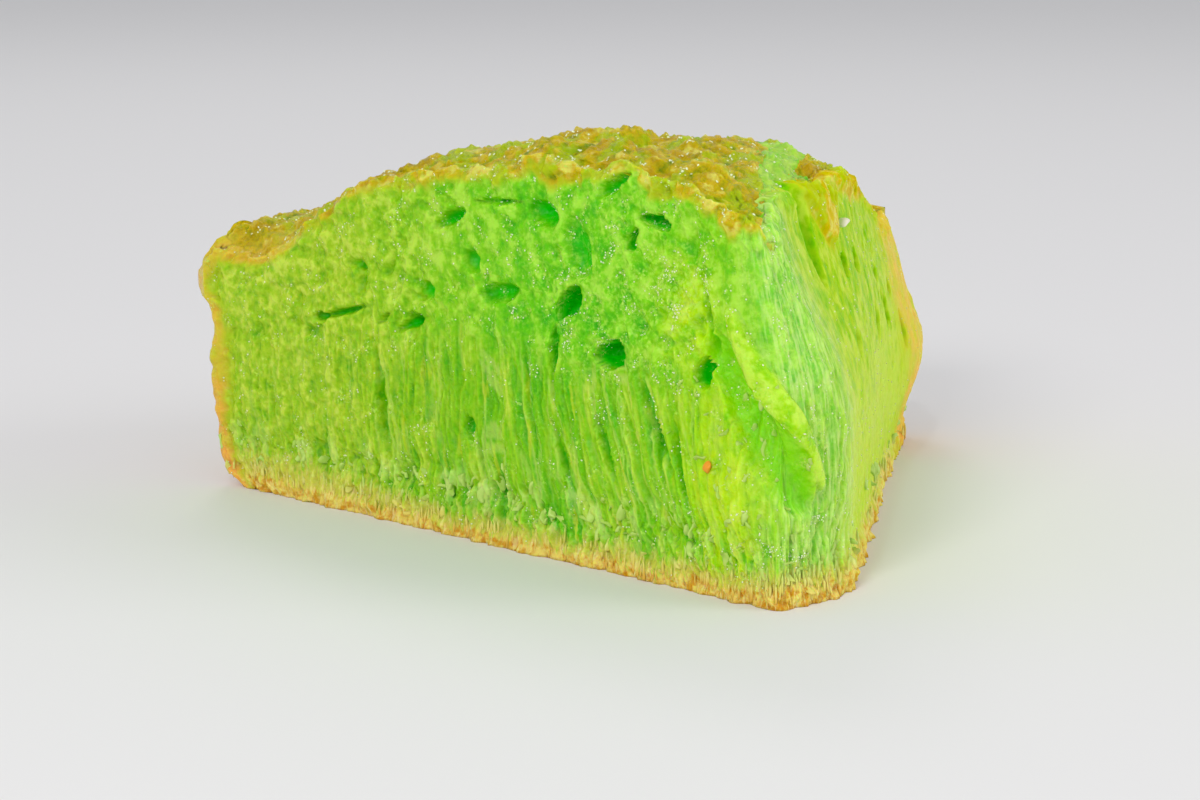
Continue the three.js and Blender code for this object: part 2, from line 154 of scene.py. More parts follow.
def noise(x, y, z):
    cells = [np.floor(n).astype(np.int64) for n in np.broadcast_arrays(x, y, z)]
    u, v, w = (ease(n - cell, 0, 1) for n, cell in zip((x, y, z), cells))

    def corner(i, j, k):
        return hash_number(cells[0] + i, cells[1] + j, cells[2] + k)

    def face(k):
        low, high = (mix(corner(0, j, k), corner(1, j, k), u) for j in (0, 1))
        return mix(low, high, v)

    return 2 * mix(face(0), face(1), w) - 1


def rough(x, y, *layers):
    """Layers of noise, each given by its height, its sizes along x and y, and its seed."""
    return sum(height * noise(x / along, y / across, seed) for height, along, across, seed in layers)


# %% [markdown]
# ## Outline of the slice
# Seen from above, the slice is a straight left cut, a round wall, a straight right cut and a blunt tip, with small
# rounded corners. One path is walked all the way round, and every place on the walls is named by its distance along
# that path from the left corner of the tip: positive along the left cut, negative across the tip and along the right.


# %% The path round the slice
def direction(angle):
    return np.array([math.cos(angle), math.sin(angle)])


def rim_corner(start, angle):
    along = direction(angle)
    b = start @ along
    length = math.sqrt(b * b - start @ start + CAKE_RADIUS**2) - b
    return start + along * length, length


def stretch(a, b, step=0.1):
    count = max(2, int(np.linalg.norm(b - a) / step))
    return a + (b - a) * np.linspace(0, 1, count)[:, None]


def rounded(a, corner, b):
    t = np.linspace(0, 1, 24)[:, None]
    return a * (1 - t) ** 2 + corner * 2 * t * (1 - t) + b * t**2


def step_from(a, b, distance):
    return a + (b - a) * distance / np.linalg.norm(b - a)


LEFT_ALONG, RIGHT_ALONG = direction(LEFT_CUT_ANGLE), direction(RIGHT_CUT_ANGLE)
LEFT_OUT = np.array([-LEFT_ALONG[1], LEFT_ALONG[0]])
RIGHT_OUT = np.array([RIGHT_ALONG[1], -RIGHT_ALONG[0]])
left_corner, LEFT_END = rim_corner(TIP_LEFT, LEFT_CUT_ANGLE)
right_corner, right_length = rim_corner(TIP_RIGHT, RIGHT_CUT_ANGLE)
RIGHT_START = -float(np.linalg.norm(TIP_LEFT - TIP_RIGHT))
RIGHT_END = RIGHT_START - right_length


def slice_path():
    turn = RIM_ROUNDING / CAKE_RADIUS
    first = math.atan2(left_corner[1], left_corner[0]) - turn
    last = math.atan2(right_corner[1], right_corner[0]) + turn
    arc = np.array([direction(a) for a in np.linspace(first, last, 900)]) * CAKE_RADIUS
    left_a = step_from(TIP_LEFT, left_corner, TIP_ROUNDING)
    left_b = step_from(left_corner, TIP_LEFT, RIM_ROUNDING)
    right_a = step_from(right_corner, TIP_RIGHT, RIM_ROUNDING)
    right_b = step_from(TIP_RIGHT, right_corner, TIP_ROUNDING)
    tip_a = step_from(TIP_RIGHT, TIP_LEFT, TIP_ROUNDING)
    tip_b = step_from(TIP_LEFT, TIP_RIGHT, TIP_ROUNDING)
    path = np.concatenate([
        stretch(left_a, left_b),
        rounded(left_b, left_corner, arc[0]),
        arc,
        rounded(arc[-1], right_corner, right_a),
        stretch(right_a, right_b),
        rounded(right_b, TIP_RIGHT, tip_a),
        stretch(tip_a, tip_b),
        rounded(tip_b, TIP_LEFT, left_a),
    ])
    steps = np.linalg.norm(np.diff(path, axis=0), axis=1)
    path = path[np.append(True, steps > 1e-6)]
    return path, np.append(0, np.cumsum(np.linalg.norm(np.diff(path, axis=0), axis=1)))


PATH, PATH_REACH = slice_path()
PATH_LENGTH = PATH_REACH[-1]


def path_place(distance):
    reach = np.mod(np.asarray(distance, float) - TIP_ROUNDING, PATH_LENGTH)
    return np.stack([np.interp(reach, PATH_REACH, PATH[:, axis]) for axis in (0, 1)], -1)


def outline_at(distance):
    along = path_place(distance + 1) - path_place(distance - 0.75)
    along /= np.linalg.norm(along, axis=-1, keepdims=True)
    return path_place(distance), np.stack([-along[..., 1], along[..., 0]], -1)


print(f"path {PATH_LENGTH:.1f} mm, left cut {LEFT_END:.1f} mm, right cut {right_length:.1f} mm")


# %% [markdown]
# ## Top and walls
# The height of the top is a dome of the distance from the cake's axis, less the droop at its edges, with crags from
# the noise. The walls take the tin's flare, the lean of the right cut and the torn, set-back tip.


# %% Height of the top
def lean_depth(back):
    return mix(LEAN_AT_BACK, LEAN_AT_TIP, bell(np.maximum(0, back) / LEAN_REACH))


def from_faces(place):
    """Distance in from the left cut, and from the right cut as it leans at its top."""
    from_right = TIP_RIGHT - place
    inside = from_right @ RIGHT_OUT - lean_depth(-from_right @ RIGHT_ALONG)
    return (TIP_LEFT - place) @ LEFT_OUT, inside


def top_height(place):
    from_left, inside = from_faces(place)
    radius = np.linalg.norm(place, axis=-1)
    dome = mix(DOME_HEIGHT, RIM_HEIGHT, np.minimum(1, radius / DOME_RADIUS) ** DOME_POWER)
    on_shoulder = ease(radius, SHOULDER_FROM_RADIUS, DOME_RADIUS)
    near_face = bell(np.maximum(0, np.minimum(inside, from_left)) / DROOP_REACH)
    droop = mix(DROOP_ON_DOME, DROOP_ON_SHOULDER, on_shoulder) * near_face
    rim_droop = DROOP_AT_RIM * bell(np.maximum(0, CAKE_RADIUS - radius) / DROOP_REACH)
    fall = RIGHT_FALL * bell(np.maximum(0, inside) / RIGHT_FALL_REACH) * (1 - on_shoulder)
    sag = TIP_SAG * bell(np.linalg.norm(place - TIP_LEFT, axis=-1) / TIP_SAG_REACH)
    crag = rough(place[..., 0], place[..., 1], (CRAG, CRAG_SIZE, CRAG_SIZE, 3.5),
                 (FINE_CRAG, FINE_CRAG_SIZE, FINE_CRAG_SIZE, 9.5))
    return dome - sag - np.maximum(droop, rim_droop) - fall + crag


def flare(place, z):
    radius = np.linalg.norm(place, axis=-1)
    foot = FOOT_TUCK * np.maximum(0, 1 - z / FOOT_ROUNDING) ** 2
    lip = LIP_REACH * bell((z - LIP_HEIGHT) / LIP_HALF_HEIGHT)
    shift = WALL_LEAN * z / RIM_HEIGHT + lip - foot
    scale = 1 + ease(radius, FLARE_FROM_RADIUS, CAKE_RADIUS) * shift / radius
    return np.concatenate([place * scale[..., None], np.broadcast_to(z, scale.shape)[..., None]], -1)


# %% Places on the walls
def lean_at(distance):
    """Shift in plan that leans the right cut inwards and sets the tip back, at full height."""
    share = bell(np.maximum(0, distance) / TIP_SETBACK_REACH)[..., None]
    setback = LEFT_ALONG * TIP_SETBACK * share
    right = -RIGHT_OUT * lean_depth(RIGHT_START - distance)[..., None]
    past_corner = np.clip(distance / RIGHT_START, 0, 1)[..., None]
    return np.where(distance[..., None] >= 0, setback, mix(setback, right, past_corner))


def edge_height(distance):
    return top_height(path_place(distance) + lean_at(distance))


def bow(distance, z):
    """How far the right cut bows out at its back."""
    back = ease(-distance, -RIGHT_END - BOW_LENGTH, -RIGHT_END - 8)
    return np.where(distance >= RIGHT_END, BOW_OUT * back * bell((z - BOW_HEIGHT) / BOW_HALF_HEIGHT), 0)


def wall_plan(distance, z, raised):
    near, out = outline_at(distance)
    lean = lean_at(distance) * ease(z, LEAN_FROM, LEAN_TO)[..., None]
    return near + lean + out * (bow(distance, z) + raised)[..., None], out


# %% [markdown]
# ## Pits, cracks and the torn tip
# The larger pits and cracks of the left cut, and the hollow, flap, ridge and swelling of the torn tip, are placed one
# by one. Each is an uneven egg shape sunk into the face or standing out of it. Sharp pits have steep walls and narrow
# towards one end, and soft ones are shallow bowls.

# %% Sizes of the pits
# Each row is the distance back from the tip, the height, the half length and half height, the turn in degrees and the
# depth. Sharp pits also have a taper.
HOLLOW = (4.6, 22.8, 3.5, 13, -36, 2.6)
FLAP = (1.2, 25.4, 2.2, 12.4, -30, 2.1)
RIDGE = (-2.6, 17.6, 1.0, 5.2, -22, 1.1)
SWELLING = (7.6, 12.5, 5.5, 7.5, 1.7)
SHARP_PITS = [
    (36.5, 33.4, 1.8, 2.9, 33, 4.6, 0.35),
    (38.8, 26.4, 0.8, 4.8, 3, 3.0, 0.3),
    (29.2, 28.0, 1.9, 2.9, -100, 4.4, -0.45),
    (13.0, 27.6, 1.5, 2.2, 22, 3.2, -0.3),
    (25.2, 42.8, 0.8, 1.7, 20, 3.4, -0.4),
    (21.4, 45.4, 0.9, 3.0, 94, 3.0, 0.4),
]
SOFT_PITS = [
    (34.3, 41.2, 2.3, 4.2, -8, 1.5),
    (33.2, 39.6, 1.0, 1.9, -14, 1.5),
    (40.8, 44.8, 3.2, 1.9, 14, 2.2),
    (57.6, 42.7, 3.9, 1.2, -26, 2.2),
    (48.6, 45.6, 5.0, 0.5, -4, 1.4),
    (12.0, 34.0, 0.9, 4.8, -4, 1.7),
    (48.4, 33.9, 4.0, 1.5, -12, 1.9),
    (62.3, 32.6, 2.0, 1.5, -16, 2.0),
    (53.5, 37.4, 1.6, 1.9, -24, 1.8),
    (79.0, 27.8, 5.6, 0.6, -16, 1.9),
    (83.4, 26.6, 1.4, 0.9, 10, 1.8),
    (70.6, 27.9, 1.6, 0.5, -34, 1.7),
    (65.5, 27.8, 3.2, 0.8, -24, 2.2),
    (75.8, 34.6, 2.1, 1.0, 0, 1.4),
    (28.4, 49.4, 3.4, 1.0, -28, 2.0),
    (29.9, 16.0, 0.7, 4.4, -21, 2.6),
    (21.0, 19.6, 0.9, 6.8, -24, 2.2),
    (17.0, 15.2, 0.7, 5.2, -14, 2.0),
    (54.2, 15.2, 0.9, 1.6, 0, 2.0),
    (52.4, 11.2, 0.5, 3.6, -12, 1.8),
    (37.8, 14.4, 0.5, 4.6, -20, 1.6),
    (71.5, 16.0, 0.9, 8.0, -7, 1.3),
    (-26.0, 43.5, 2.6, 6.5, 0, 1.8),
]
RIGHT_PIT_COUNT = 9
STEEP = 0.4


def right_pit(i):
    """One of the pits strewn through the upper crumb of the right cut."""
    chance = [float(hash_number(i, 5, k)) for k in range(7)]
    along = mix(RIGHT_START - 12, RIGHT_END + 14, (i + chance[1]) / RIGHT_PIT_COUNT)
    up = 26 + 14 * chance[2] - i * 8 / RIGHT_PIT_COUNT
    return along, up, 1.2 + 1.8 * chance[3], 1.2 + 1.6 * chance[4], 40 * chance[5] - 20, 1.4 + 0.8 * chance[6]


soft_pits = SOFT_PITS + [right_pit(i) for i in range(RIGHT_PIT_COUNT)]
print("pits placed one by one:", len(SHARP_PITS + soft_pits))


# %% Egg shapes on a wall
def egg(distance, z, sizes, seed, steepness=1, taper=0):
    """How far an egg shape's surface lies from the wall. Its edge is uneven, as torn crumb is."""
    along, up, wide, tall, turn, deep = sizes
    turn = math.radians(turn)
    x, y = distance - along, z - up
    a = (x * math.cos(turn) + y * math.sin(turn)) / wide
    b = (y * math.cos(turn) - x * math.sin(turn)) / tall
    a = a / (1 + taper * np.clip(b, -1, 1))
    uneven = 1 + 0.3 * noise(0.9 * a + seed + 0.3, 0.9 * b + 0.6, 0.5)
    uneven = uneven + 0.17 * noise(2.3 * a + 0.4, 2.3 * b, seed + 0.5)
    return deep * np.clip(1 - (np.hypot(a, b) / uneven) ** 2, 0, 1) ** steepness


def torn_tip(distance, z):
    along, up, wide, tall, out = SWELLING
    swelling = out * bell((distance - along) / wide) * bell((z - up) / tall)
    flap = np.maximum(egg(distance, z, FLAP, 32, STEEP), egg(distance, z, RIDGE, 34))
    return swelling - egg(distance, z, HOLLOW, 31, STEEP), flap


# %% [markdown]
# ## Crumb of the slice
# The crumb's walls are a grid: columns round the path and rows from base to top edge. Columns stand closest on the
# left cut, which shows most, and rows lie closest at the foot and in the upper half, where the detail is finest. The
# last rows turn over the top edge as a lip and dive under the crust, so that no gap shows between the two. The outer
# wall and the top are coarse, because the baked crust covers them as a piece of its own. Everything is one closed
# skin, so light can wander inside it.

# %% Columns and rows of the crumb
FINE_STEP = 0.26
RIGHT_STEP = 0.40
RIM_STEP = 4.0
PAST_CORNER = np.array([0.6, 1.2, 1.9, 2.8])
TOP_STEP = 3.4
TOP_INSET = 4.6
TOP_START = 6
TOP_LINES = 32
UNDER_EDGE = 0.5
TOP_UNDER_CRUST = 3.2
LIP_IN = np.array([0.25, 0.6, 1.0, 1.5, 2.0, 2.5, 3.0, 3.4])
LIP_DOWN = np.array([0.25, 0.3, 0.4, 0.6, 0.8, 1.2, 1.8, 2.6])


def columns(start, end, step):
    return np.linspace(start, end, round((end - start) / step), endpoint=False)


runs = {
    "right": columns(RIGHT_END, RIGHT_START, RIGHT_STEP),
    "tip": columns(RIGHT_START, 0, FINE_STEP),
    "left": columns(0, LEFT_END, FINE_STEP),
    "rim": np.concatenate([
        [LEFT_END],
        LEFT_END + PAST_CORNER,
        columns(LEFT_END + RIM_STEP, PATH_LENGTH + RIGHT_END - RIM_STEP, RIM_STEP),
        PATH_LENGTH + RIGHT_END - np.append(RIM_STEP, PAST_CORNER[::-1]),
    ]),
}
distances = np.concatenate(list(runs.values()))
rows = np.concatenate([
    np.linspace(0, 0.11, 15, endpoint=False),
    np.linspace(0.11, 0.5, 34, endpoint=False),
    np.linspace(0.5, 1, 70),
    np.ones(len(LIP_IN)),
])
D = np.broadcast_to(distances[:, None], (len(distances), len(rows)))
EDGE = np.broadcast_to(edge_height(distances)[:, None], D.shape)
cut = (D > RIGHT_END) & (D < LEFT_END)
past_corner = np.where(cut, 0, np.minimum(D - LEFT_END, PATH_LENGTH + RIGHT_END - D))
covered = ease(past_corner, 1.8, 4.8)
Z = (EDGE - mix(UNDER_EDGE, TOP_UNDER_CRUST, covered)) * rows
below_edge = EDGE - Z
print("wall grid:", D.shape)

# %% Lobes of the crust
# Each is a place along the path, how far the crust hangs down there, and half its length.
LOBES = [(6.0, 2.0, 2.3), (12.0, 0.5, 2.0), (21.0, 1.2, 2.0), (39.0, 2.2, 3.0), (49.0, 0.8, 2.0), (-38.0, 7.5, 7.0),
         (-62.0, 2.6, 13.0)]


def crust_line(distance):
    """How far the browned crust reaches down a cut face, with its lobes and the flake that hangs on the right."""
    line = 1.1 + rough(distance, 0.5, (0.8, 5, 1, 3.5), (0.6, 1.7, 1, 5.5), (0.4, 0.7, 1, 6.5))
    line = line - 3.2 * ease(-distance, 1.5, 4.5) * (1 - ease(-distance, 27, 30))
    return line + sum(drop * bell((distance - place) / half) for place, drop, half in LOBES)


gold_line = crust_line(D)
overhang = (0.35 + 0.7 * bell((D + 38) / 9)) * ease(gold_line, 1.6, 2.8)
overhang *= 1 - ease(below_edge, gold_line - 1.6, gold_line + 0.4)

# %% Forms of the walls
tip_form, flap = torn_tip(D, Z)
sharp_forms = [egg(D, Z, sizes, seed, STEEP, taper) for seed, (*sizes, taper) in enumerate(SHARP_PITS)]
soft_forms = [egg(D, Z, sizes, seed) for seed, sizes in enumerate(soft_pits, len(SHARP_PITS))]
pits = np.max(sharp_forms + soft_forms, axis=0) * cut
ragged_foot = rough(D, Z, (0.6, 1.9, 1.5, 71.5), (0.45, 0.7, 1.4, 81.5)) - 0.3
ragged_foot = (ragged_foot + 0.7 * (D < RIGHT_START)) * (1 - ease(Z, 1.8, 4.6))
to_rim = np.minimum(np.abs(LEFT_END - D), np.minimum(np.abs(D - RIGHT_END), past_corner + 100 * cut))
knobs = 0.9 * noise(D / 6 + 0.3, Z / 2.6, 21.5) + 0.6 * noise(D / 3 + 0.6, Z / 1.2, 22.5) + np.where(D > 0, 0.5, -0.2)
knobs *= 1 - ease(to_rim, 1, 4)
brow_lumps = rough(D, Z, (0.7, 1.8, 1.5, 93.5), (0.4, 0.8, 0.8, 94.5)) * (1 - ease(below_edge, 1.6, 4.4)) * cut
rounding = 0.5 * (1 - ease(below_edge, UNDER_EDGE, 1.7))
on_face = (tip_form + flap - pits) * ease(Z, 0, 1) * cut + ragged_foot
on_face = on_face + (overhang + knobs + brow_lumps) * ease(Z, 0, 2) - rounding
raised = mix(on_face, -2.0, covered)
wall_plans, wall_out = wall_plan(D, Z, raised)
print("highest and deepest forms, in mm:", round(float(on_face.max()), 1), round(float(on_face.min()), 1))

# %% The lip, where the crumb's skin turns over the edge and dives under the crust
before_lip = np.zeros(len(rows) - len(LIP_IN))
over = np.append(before_lip, LIP_IN) * mix(1, 0.3, covered)
uneven_lip = rough(D, over, (0.35, 1.7, 1.3, 55.5), (0.25, 0.8, 0.8, 56.5)) * (over > 0)
down = mix(np.append(before_lip, LIP_DOWN) + uneven_lip, TOP_UNDER_CRUST, covered)
brow_plan, _ = wall_plan(D, EDGE, raised)
lip_plan = brow_plan - wall_out * over[..., None]
lip_height = top_height(lip_plan) + (EDGE - top_height(brow_plan)) * bell(over / 3) - down
wall_points = flare(np.where(over[..., None] > 0, lip_plan, wall_plans), np.where(over > 0, lip_height, Z))


# %% Lines across the top of the crumb
def top_line(share):
    ends = (mix(TOP_START, LEFT_END - TOP_INSET, share), mix(RIGHT_START - TOP_START, RIGHT_END + TOP_INSET, share))
    a, b = ((path_place(end) + lean_at(end))[0] for end in map(np.atleast_1d, ends))
    width = np.linalg.norm(b - a)
    count = max(2, round((width - 2 * TOP_INSET) / TOP_STEP))
    bulge = share**3 * (CAKE_RADIUS - TOP_INSET - np.linalg.norm((a + b) / 2))
    across = np.linspace(TOP_INSET / width, 1 - TOP_INSET / width, count + 1)
    place = a + (b - a) * across[:, None]
    place[:, 1] += max(0, bulge) * (1 - (2 * across - 1) ** 2)
    return flare(place, top_height(place) - TOP_UNDER_CRUST)


top_lines = [top_line(i / TOP_LINES) for i in range(TOP_LINES + 1)]


# %% Joining lines of points
def join_lines(faces, outer, inner):
    """Adds a strip of triangles between two lines of points that run the same way, the outer one on the left."""
    i = j = 0
    while i < len(outer) - 1 or j < len(inner) - 1:
        outer_next = (i + 1) / (len(outer) - 1)
        inner_next = (j + 1) / max(1, len(inner) - 1)
        if j >= len(inner) - 1 or (i < len(outer) - 1 and outer_next <= inner_next):
            faces.append([inner[j], outer[i + 1], outer[i]])
            i += 1
        else:
            faces.append([inner[j], inner[j + 1], outer[i]])
            j += 1


# %% Faces of the crumb
wall_index = np.arange(D.size).reshape(D.shape)
following = np.roll(wall_index, -1, axis=0)
quads = np.stack([wall_index[:, :-1], wall_index[:, 1:], following[:, 1:], following[:, :-1]], -1)
faces = quads.reshape(-1, 4).tolist()

starts = np.cumsum([wall_index.size] + [len(line) for line in top_lines])
top_index = [list(range(a, b)) for a, b in zip(starts, starts[1:])]
for lower, upper in zip(top_index, top_index[1:]):
    join_lines(faces, upper, lower)
edge_line = wall_index[:, -1].tolist()
tip_at, left_at, rim_at = np.cumsum([len(runs[name]) for name in ("right", "tip", "left")]).tolist()
join_lines(faces, edge_line[: tip_at + 1], [line[-1] for line in reversed(top_index)])
join_lines(faces, edge_line[tip_at : left_at + 1], top_index[0][::-1])
join_lines(faces, edge_line[left_at : rim_at + 1], [line[0] for line in top_index])
join_lines(faces, edge_line[rim_at:] + edge_line[:1], top_index[-1])

middle = int(starts[-1])
foot_line = wall_index[:, 0].tolist()
faces += [[a, b, middle] for a, b in zip(foot_line, foot_line[1:] + foot_line[:1])]
points = np.concatenate([wall_points.reshape(-1, 3), *top_lines, wall_points[:, 0].mean(axis=0)[None]])
points[:, :2] -= AXIS_FROM_CENTRE
print("points:", len(points), "faces:", len(faces))

# %% [markdown]
# ## What each place on the crumb is
# The texture differs from place to place, so each point carries a few numbers: how much it belongs to the tunnels, to
# the closer crumb, to the shards and the frayed foot or to the crust, where it lies along the grain, and which way the
# relief moves it. The grain leans towards the tip near the base, so distances along it are straightened first.


# %% Grain and sides
def spot(along, half, up, tall):
    """A soft spot on the walls, round a place along the path and a height."""
    return bell((D - along) / half) * bell((Z - up) / tall)


low = np.maximum(0, 1 - Z / FAN_HEIGHT) ** FAN_POWER
GRAIN = D
for _ in range(4):
    GRAIN = D + FAN_REACH * bell((GRAIN - FAN_CENTRE) / FAN_SPREAD) * low
on_left = ease(D, -2, 2) * cut
on_right = ease(-D, -RIGHT_START - 2, -RIGHT_START + 3) * cut
on_tip = cut - on_left - on_right
far_left = ease(D, 62, 88) * on_left
flap_share = np.clip(flap, 0, 1) * cut

# %% Tunnels, closer crumb, shards and frays
tunnel_tops = 27 + 4.5 * noise(GRAIN / 4, 0.5, 0.5)
below_tops = 1 - ease(Z, tunnel_tops - 4, tunnel_tops + 3)
folded = bell((D - 6) / 8) * ease(Z, 6, 12) * (1 - ease(Z, 22, 32))
tunnel_share = (1 - 0.6 * far_left) * on_left + 0.7 * on_tip + 0.14 * on_right
tunnel_share *= below_tops * ease(Z, 0.5, 2.5) * (1 - 0.65 * folded)
sponge_share = np.maximum(1 - below_tops, 0.7 * far_left) * on_left + 0.5 * on_tip + 0.2 * on_right + 0.7 * (~cut)
sponge_share = np.maximum(sponge_share, 0.7 * folded * cut)
sponge_share = sponge_share * mix(0.4, 1, ease(noise(D / 7.5, Z / 5.5, 33.5), -0.5, 0.2))
shard_share = cut * bell((Z - 6.8) / 3.3) * (1 - 0.85 * on_right) * (1 - 0.5 * far_left)
shard_share = shard_share * mix(0.25, 1, ease(noise(D / 4.5, Z / 3.5, 35.5), -0.4, 0.3)) * (1 - 0.8 * bell((D - 1) / 4))
fringe_share = cut * (1 - ease(Z, 5.0, 11.0)) * ease(Z, 0, 0.8) * (1 - 0.6 * on_right)

# %% Where the heat of the tin browned it
base_line = 1.1 + rough(D, 0.5, (0.9, 2.6, 1, 4.5), (0.8, 0.8, 1, 14.5))
base_line += 1.4 * bell((D + 3) / 9) + 0.5 * far_left + 0.9 * on_right
base_crust = 1 - ease(Z, base_line - 0.9, base_line + 1.5)
toast_reach = 4.6 + 1.6 * noise(D / 1.1, 0.5, 64.5) + 3.0 * far_left
toasted = (1 - ease(Z, base_line, base_line + toast_reach)) * cut
low_rim = 1 - ease(Z, 8, 18)
left_rim = 1 - ease(LEFT_END - D, 1.2, 5.6 - 1.6 * low_rim)
right_rim = 1 - ease(D - RIGHT_END, 13 - low_rim, 34 - 2 * low_rim)
near_rim = np.where(cut, np.maximum(left_rim, right_rim) * (0.85 + 0.4 * noise(D / 2.5, Z / 1.6, 24.5)), 1.0)
below_skin = below_edge - gold_line + 0.6 * noise(D / 1.5, Z / 1.2, 44.5)

# %% Tones of the crumb
lime = np.maximum(bell((D - 8.5) / 7.5) * (1 - 0.8 * ease(Z, 20, 34)), 0.9 * spot(15, 6, 34, 8)) * cut
froth = spot(16.5, 3.6, 37, 3.8) + 0.7 * spot(1, 7, 7.5, 3)
glint = (0.3 + spot(26, 15, 36, 13)) * on_left + 0.5 * on_tip + 0.12 * on_right + 1.3 * froth * cut
flaky = (0.9 * bell((Z - 6) / 3.6) * (1 - 0.5 * far_left) * (1 - 0.8 * on_right) + 0.5 * folded) * cut
milky = on_tip + (0.6 * bell(D / 4) + 0.5 * bell((D + 16) / 6)) * cut
numbers = {
    "tunnels": tunnel_share * (1 - base_crust) * (1 - flap_share),
    "sponge": sponge_share * (1 - 0.5 * flap_share) * (1 - base_crust),
    "fringe": fringe_share,
    "shards": shard_share * (1 - base_crust),
    "crust": base_crust,
    "toasted": toasted,
    "browned": np.clip(np.maximum(near_rim, 1 - ease(below_skin, -0.6, 1.8)), 0, 1),
    "form": pits + 0.5 * spot(37, 13, 31, 9) * cut,
    "pit": pits,
    "vivid": np.clip(-tip_form / 1.2, 0, 1) * cut,
    "flap": flap_share,
    "held": np.where(cut, 0.45 + 0.55 * ease(to_rim, 0.5, 3), 0.45 * (1 - ease(past_corner, 0, 2))),
    "lime": np.clip(lime, 0, 1),
    "far": ease(D, 40, 85) * on_left,
    "grazed": ease(-D, 6, 17) * cut,
    "milky": np.clip(milky, 0, 1) * (1 - flap_share),
    "glint": glint * (1 - base_crust),
    "flaky": flaky * ease(Z, 0.8, 1.6),
    "fibrous": cut * bell((Z - base_line - 0.4) / 1.3) * (0.35 + 0.65 * bell((D + 2) / 10)) * (1 - 0.7 * on_right),
}


# %% The same numbers for every point
def whole(wall_values, elsewhere=0.0):
    """One number for each point on the walls, and the same for all on the top and for the base's middle."""
    return np.append(np.broadcast_to(wall_values, D.shape), np.full(len(points) - D.size, float(elsewhere)))


numbers = {name: whole(values, name in ("crust", "toasted")) for name, values in numbers.items()}
grain = np.stack([whole(GRAIN), whole(Z + over), whole(np.where(D < RIGHT_START, 40.0, 0.0))], -1)
upward = ease(over, 0, 1.2)
sideways = wall_out * np.sqrt(1 - upward**2)[..., None]
outwards = np.stack([whole(sideways[..., 0]), whole(sideways[..., 1]), whole(upward, 1)], -1)


# %% A body from points, faces and numbers
def new_object(name, data):
    made = bpy.data.objects.new(name, data)
    bpy.context.scene.collection.objects.link(made)
    return made


def new_body(name, points, faces, numbers, vectors):
    """A smooth body from points in millimetres, with its numbers kept as attributes."""
    mesh = bpy.data.meshes.new(name)
    mesh.from_pydata((points * MM).tolist(), [], faces)
    for key, values in numbers.items():
        mesh.attributes.new(key, "FLOAT", "POINT").data.foreach_set("value", values.astype(np.float32))
    for key, values in vectors.items():
        flat = values.astype(np.float32).ravel()
        mesh.attributes.new(key, "FLOAT_VECTOR", "POINT").data.foreach_set("vector", flat)
    mesh.shade_smooth()
    print(name, "has", sum(len(face) - 2 for face in faces), "triangles")
    return new_object(name, mesh)


crumb_body = new_body("honeycomb_crumb", points, faces, numbers, {"grain": grain, "outwards": outwards})

# %% [markdown]
# ## Baked crust
# Top and outer wall browned as one skin, about two millimetres thick. The knife cut through it, so it shows on the cut
# faces as a thin ragged band with lobes, which the crumb's own colours draw. Here it is a closed shell: an outer skin
# of lines that run from the tip over the top and down the wall, with a border that sinks into the crumb along each cut
# edge, and a coarse inner skin that nobody sees.

# %% Sizes of the crust
SKIN_THICKNESS = 2.2
BORDER_IN = 1.2
BORDER_REACH = 2.6
BORDER_DOWN = 1.8
RIGHT_BORDER_LOWER = 1.0
ACROSS = 270
TOP_ROWS = 205
FIRST_ROW = 3
WALL_ROWS = 72
INNER_EVERY = 12
TIP_MIDDLE = RIGHT_START / 2
FOOT_GAP = 0.05
TORN_START = np.array([-5.0, 14.9])
TORN_ALONG = np.array([0.389, 0.921])
TORN_WIDTH = 5.8
TORN_LENGTH = 62
TORN_ABOVE = 34
rim_span = np.array([LEFT_END, PATH_LENGTH + RIGHT_END])


# %% Places on the outer wall and the top
def corner_offset(distance, z):
    """How far the cut's corner at that distance lies from the plain outline."""
    place = np.full_like(z, distance)
    return wall_plan(place, z, np.zeros_like(z))[0] - path_place(place)


def rim_plan(share, z):
    """Outer wall before the tin's flare. Its lumps fade out towards the corners, and it meets both cuts there."""
    near, out = outline_at(mix(*rim_span, share))
    lumps = WALL_BUMP * (1 + bell((z - LIP_HEIGHT) / LIP_HALF_HEIGHT)) * ease(share, 0, 0.04) * ease(share, 1, 0.96)
    lumps = lumps * noise(near[..., 0] / WALL_BUMP_SIZE, near[..., 1] / WALL_BUMP_SIZE, z / WALL_BUMP_SIZE)
    left = corner_offset(LEFT_END, z) * ease(share, 0.06, 0)[..., None]
    right = corner_offset(RIGHT_END, z) * ease(share, 0.94, 1)[..., None]
    return near + out * lumps[..., None] + left + right


def brow(*distances):
    """Top edge of a cut face before the tin's flare, and its height."""
    distances = np.array(distances)
    edge = edge_height(distances)
    return wall_plan(distances, edge, np.zeros_like(edge))[0], edge


(left_brow, right_brow), corner_edges = brow(LEFT_END, RIGHT_END)


def plain_skin(share, back):
    """Surface of the crust: back runs from 0 at the tip to 1 at the rim and to 2 at the wall's foot."""
    rim = rim_plan(share, mix(*corner_edges, share))
    f = min(back, 1)
    (left, right), (left_edge, right_edge) = brow(mix(TIP_MIDDLE, LEFT_END, f), mix(TIP_MIDDLE, RIGHT_END, f))
    across = share[:, None]
    plan = mix(left, right, across) + f**3 * (rim - mix(left_brow, right_brow, across))
    width = np.linalg.norm(right - left)
    height = top_height(plan)
    height += (left_edge - top_height(left)) * bell(width * share / 3) * (1 - share)
    height += (right_edge - top_height(right)) * bell(width * (1 - share) / 3) * share
    if back > 1:
        height = np.maximum(FOOT_GAP, height * (2 - back))
        plan = rim_plan(share, height)
    return flare(plan, height)


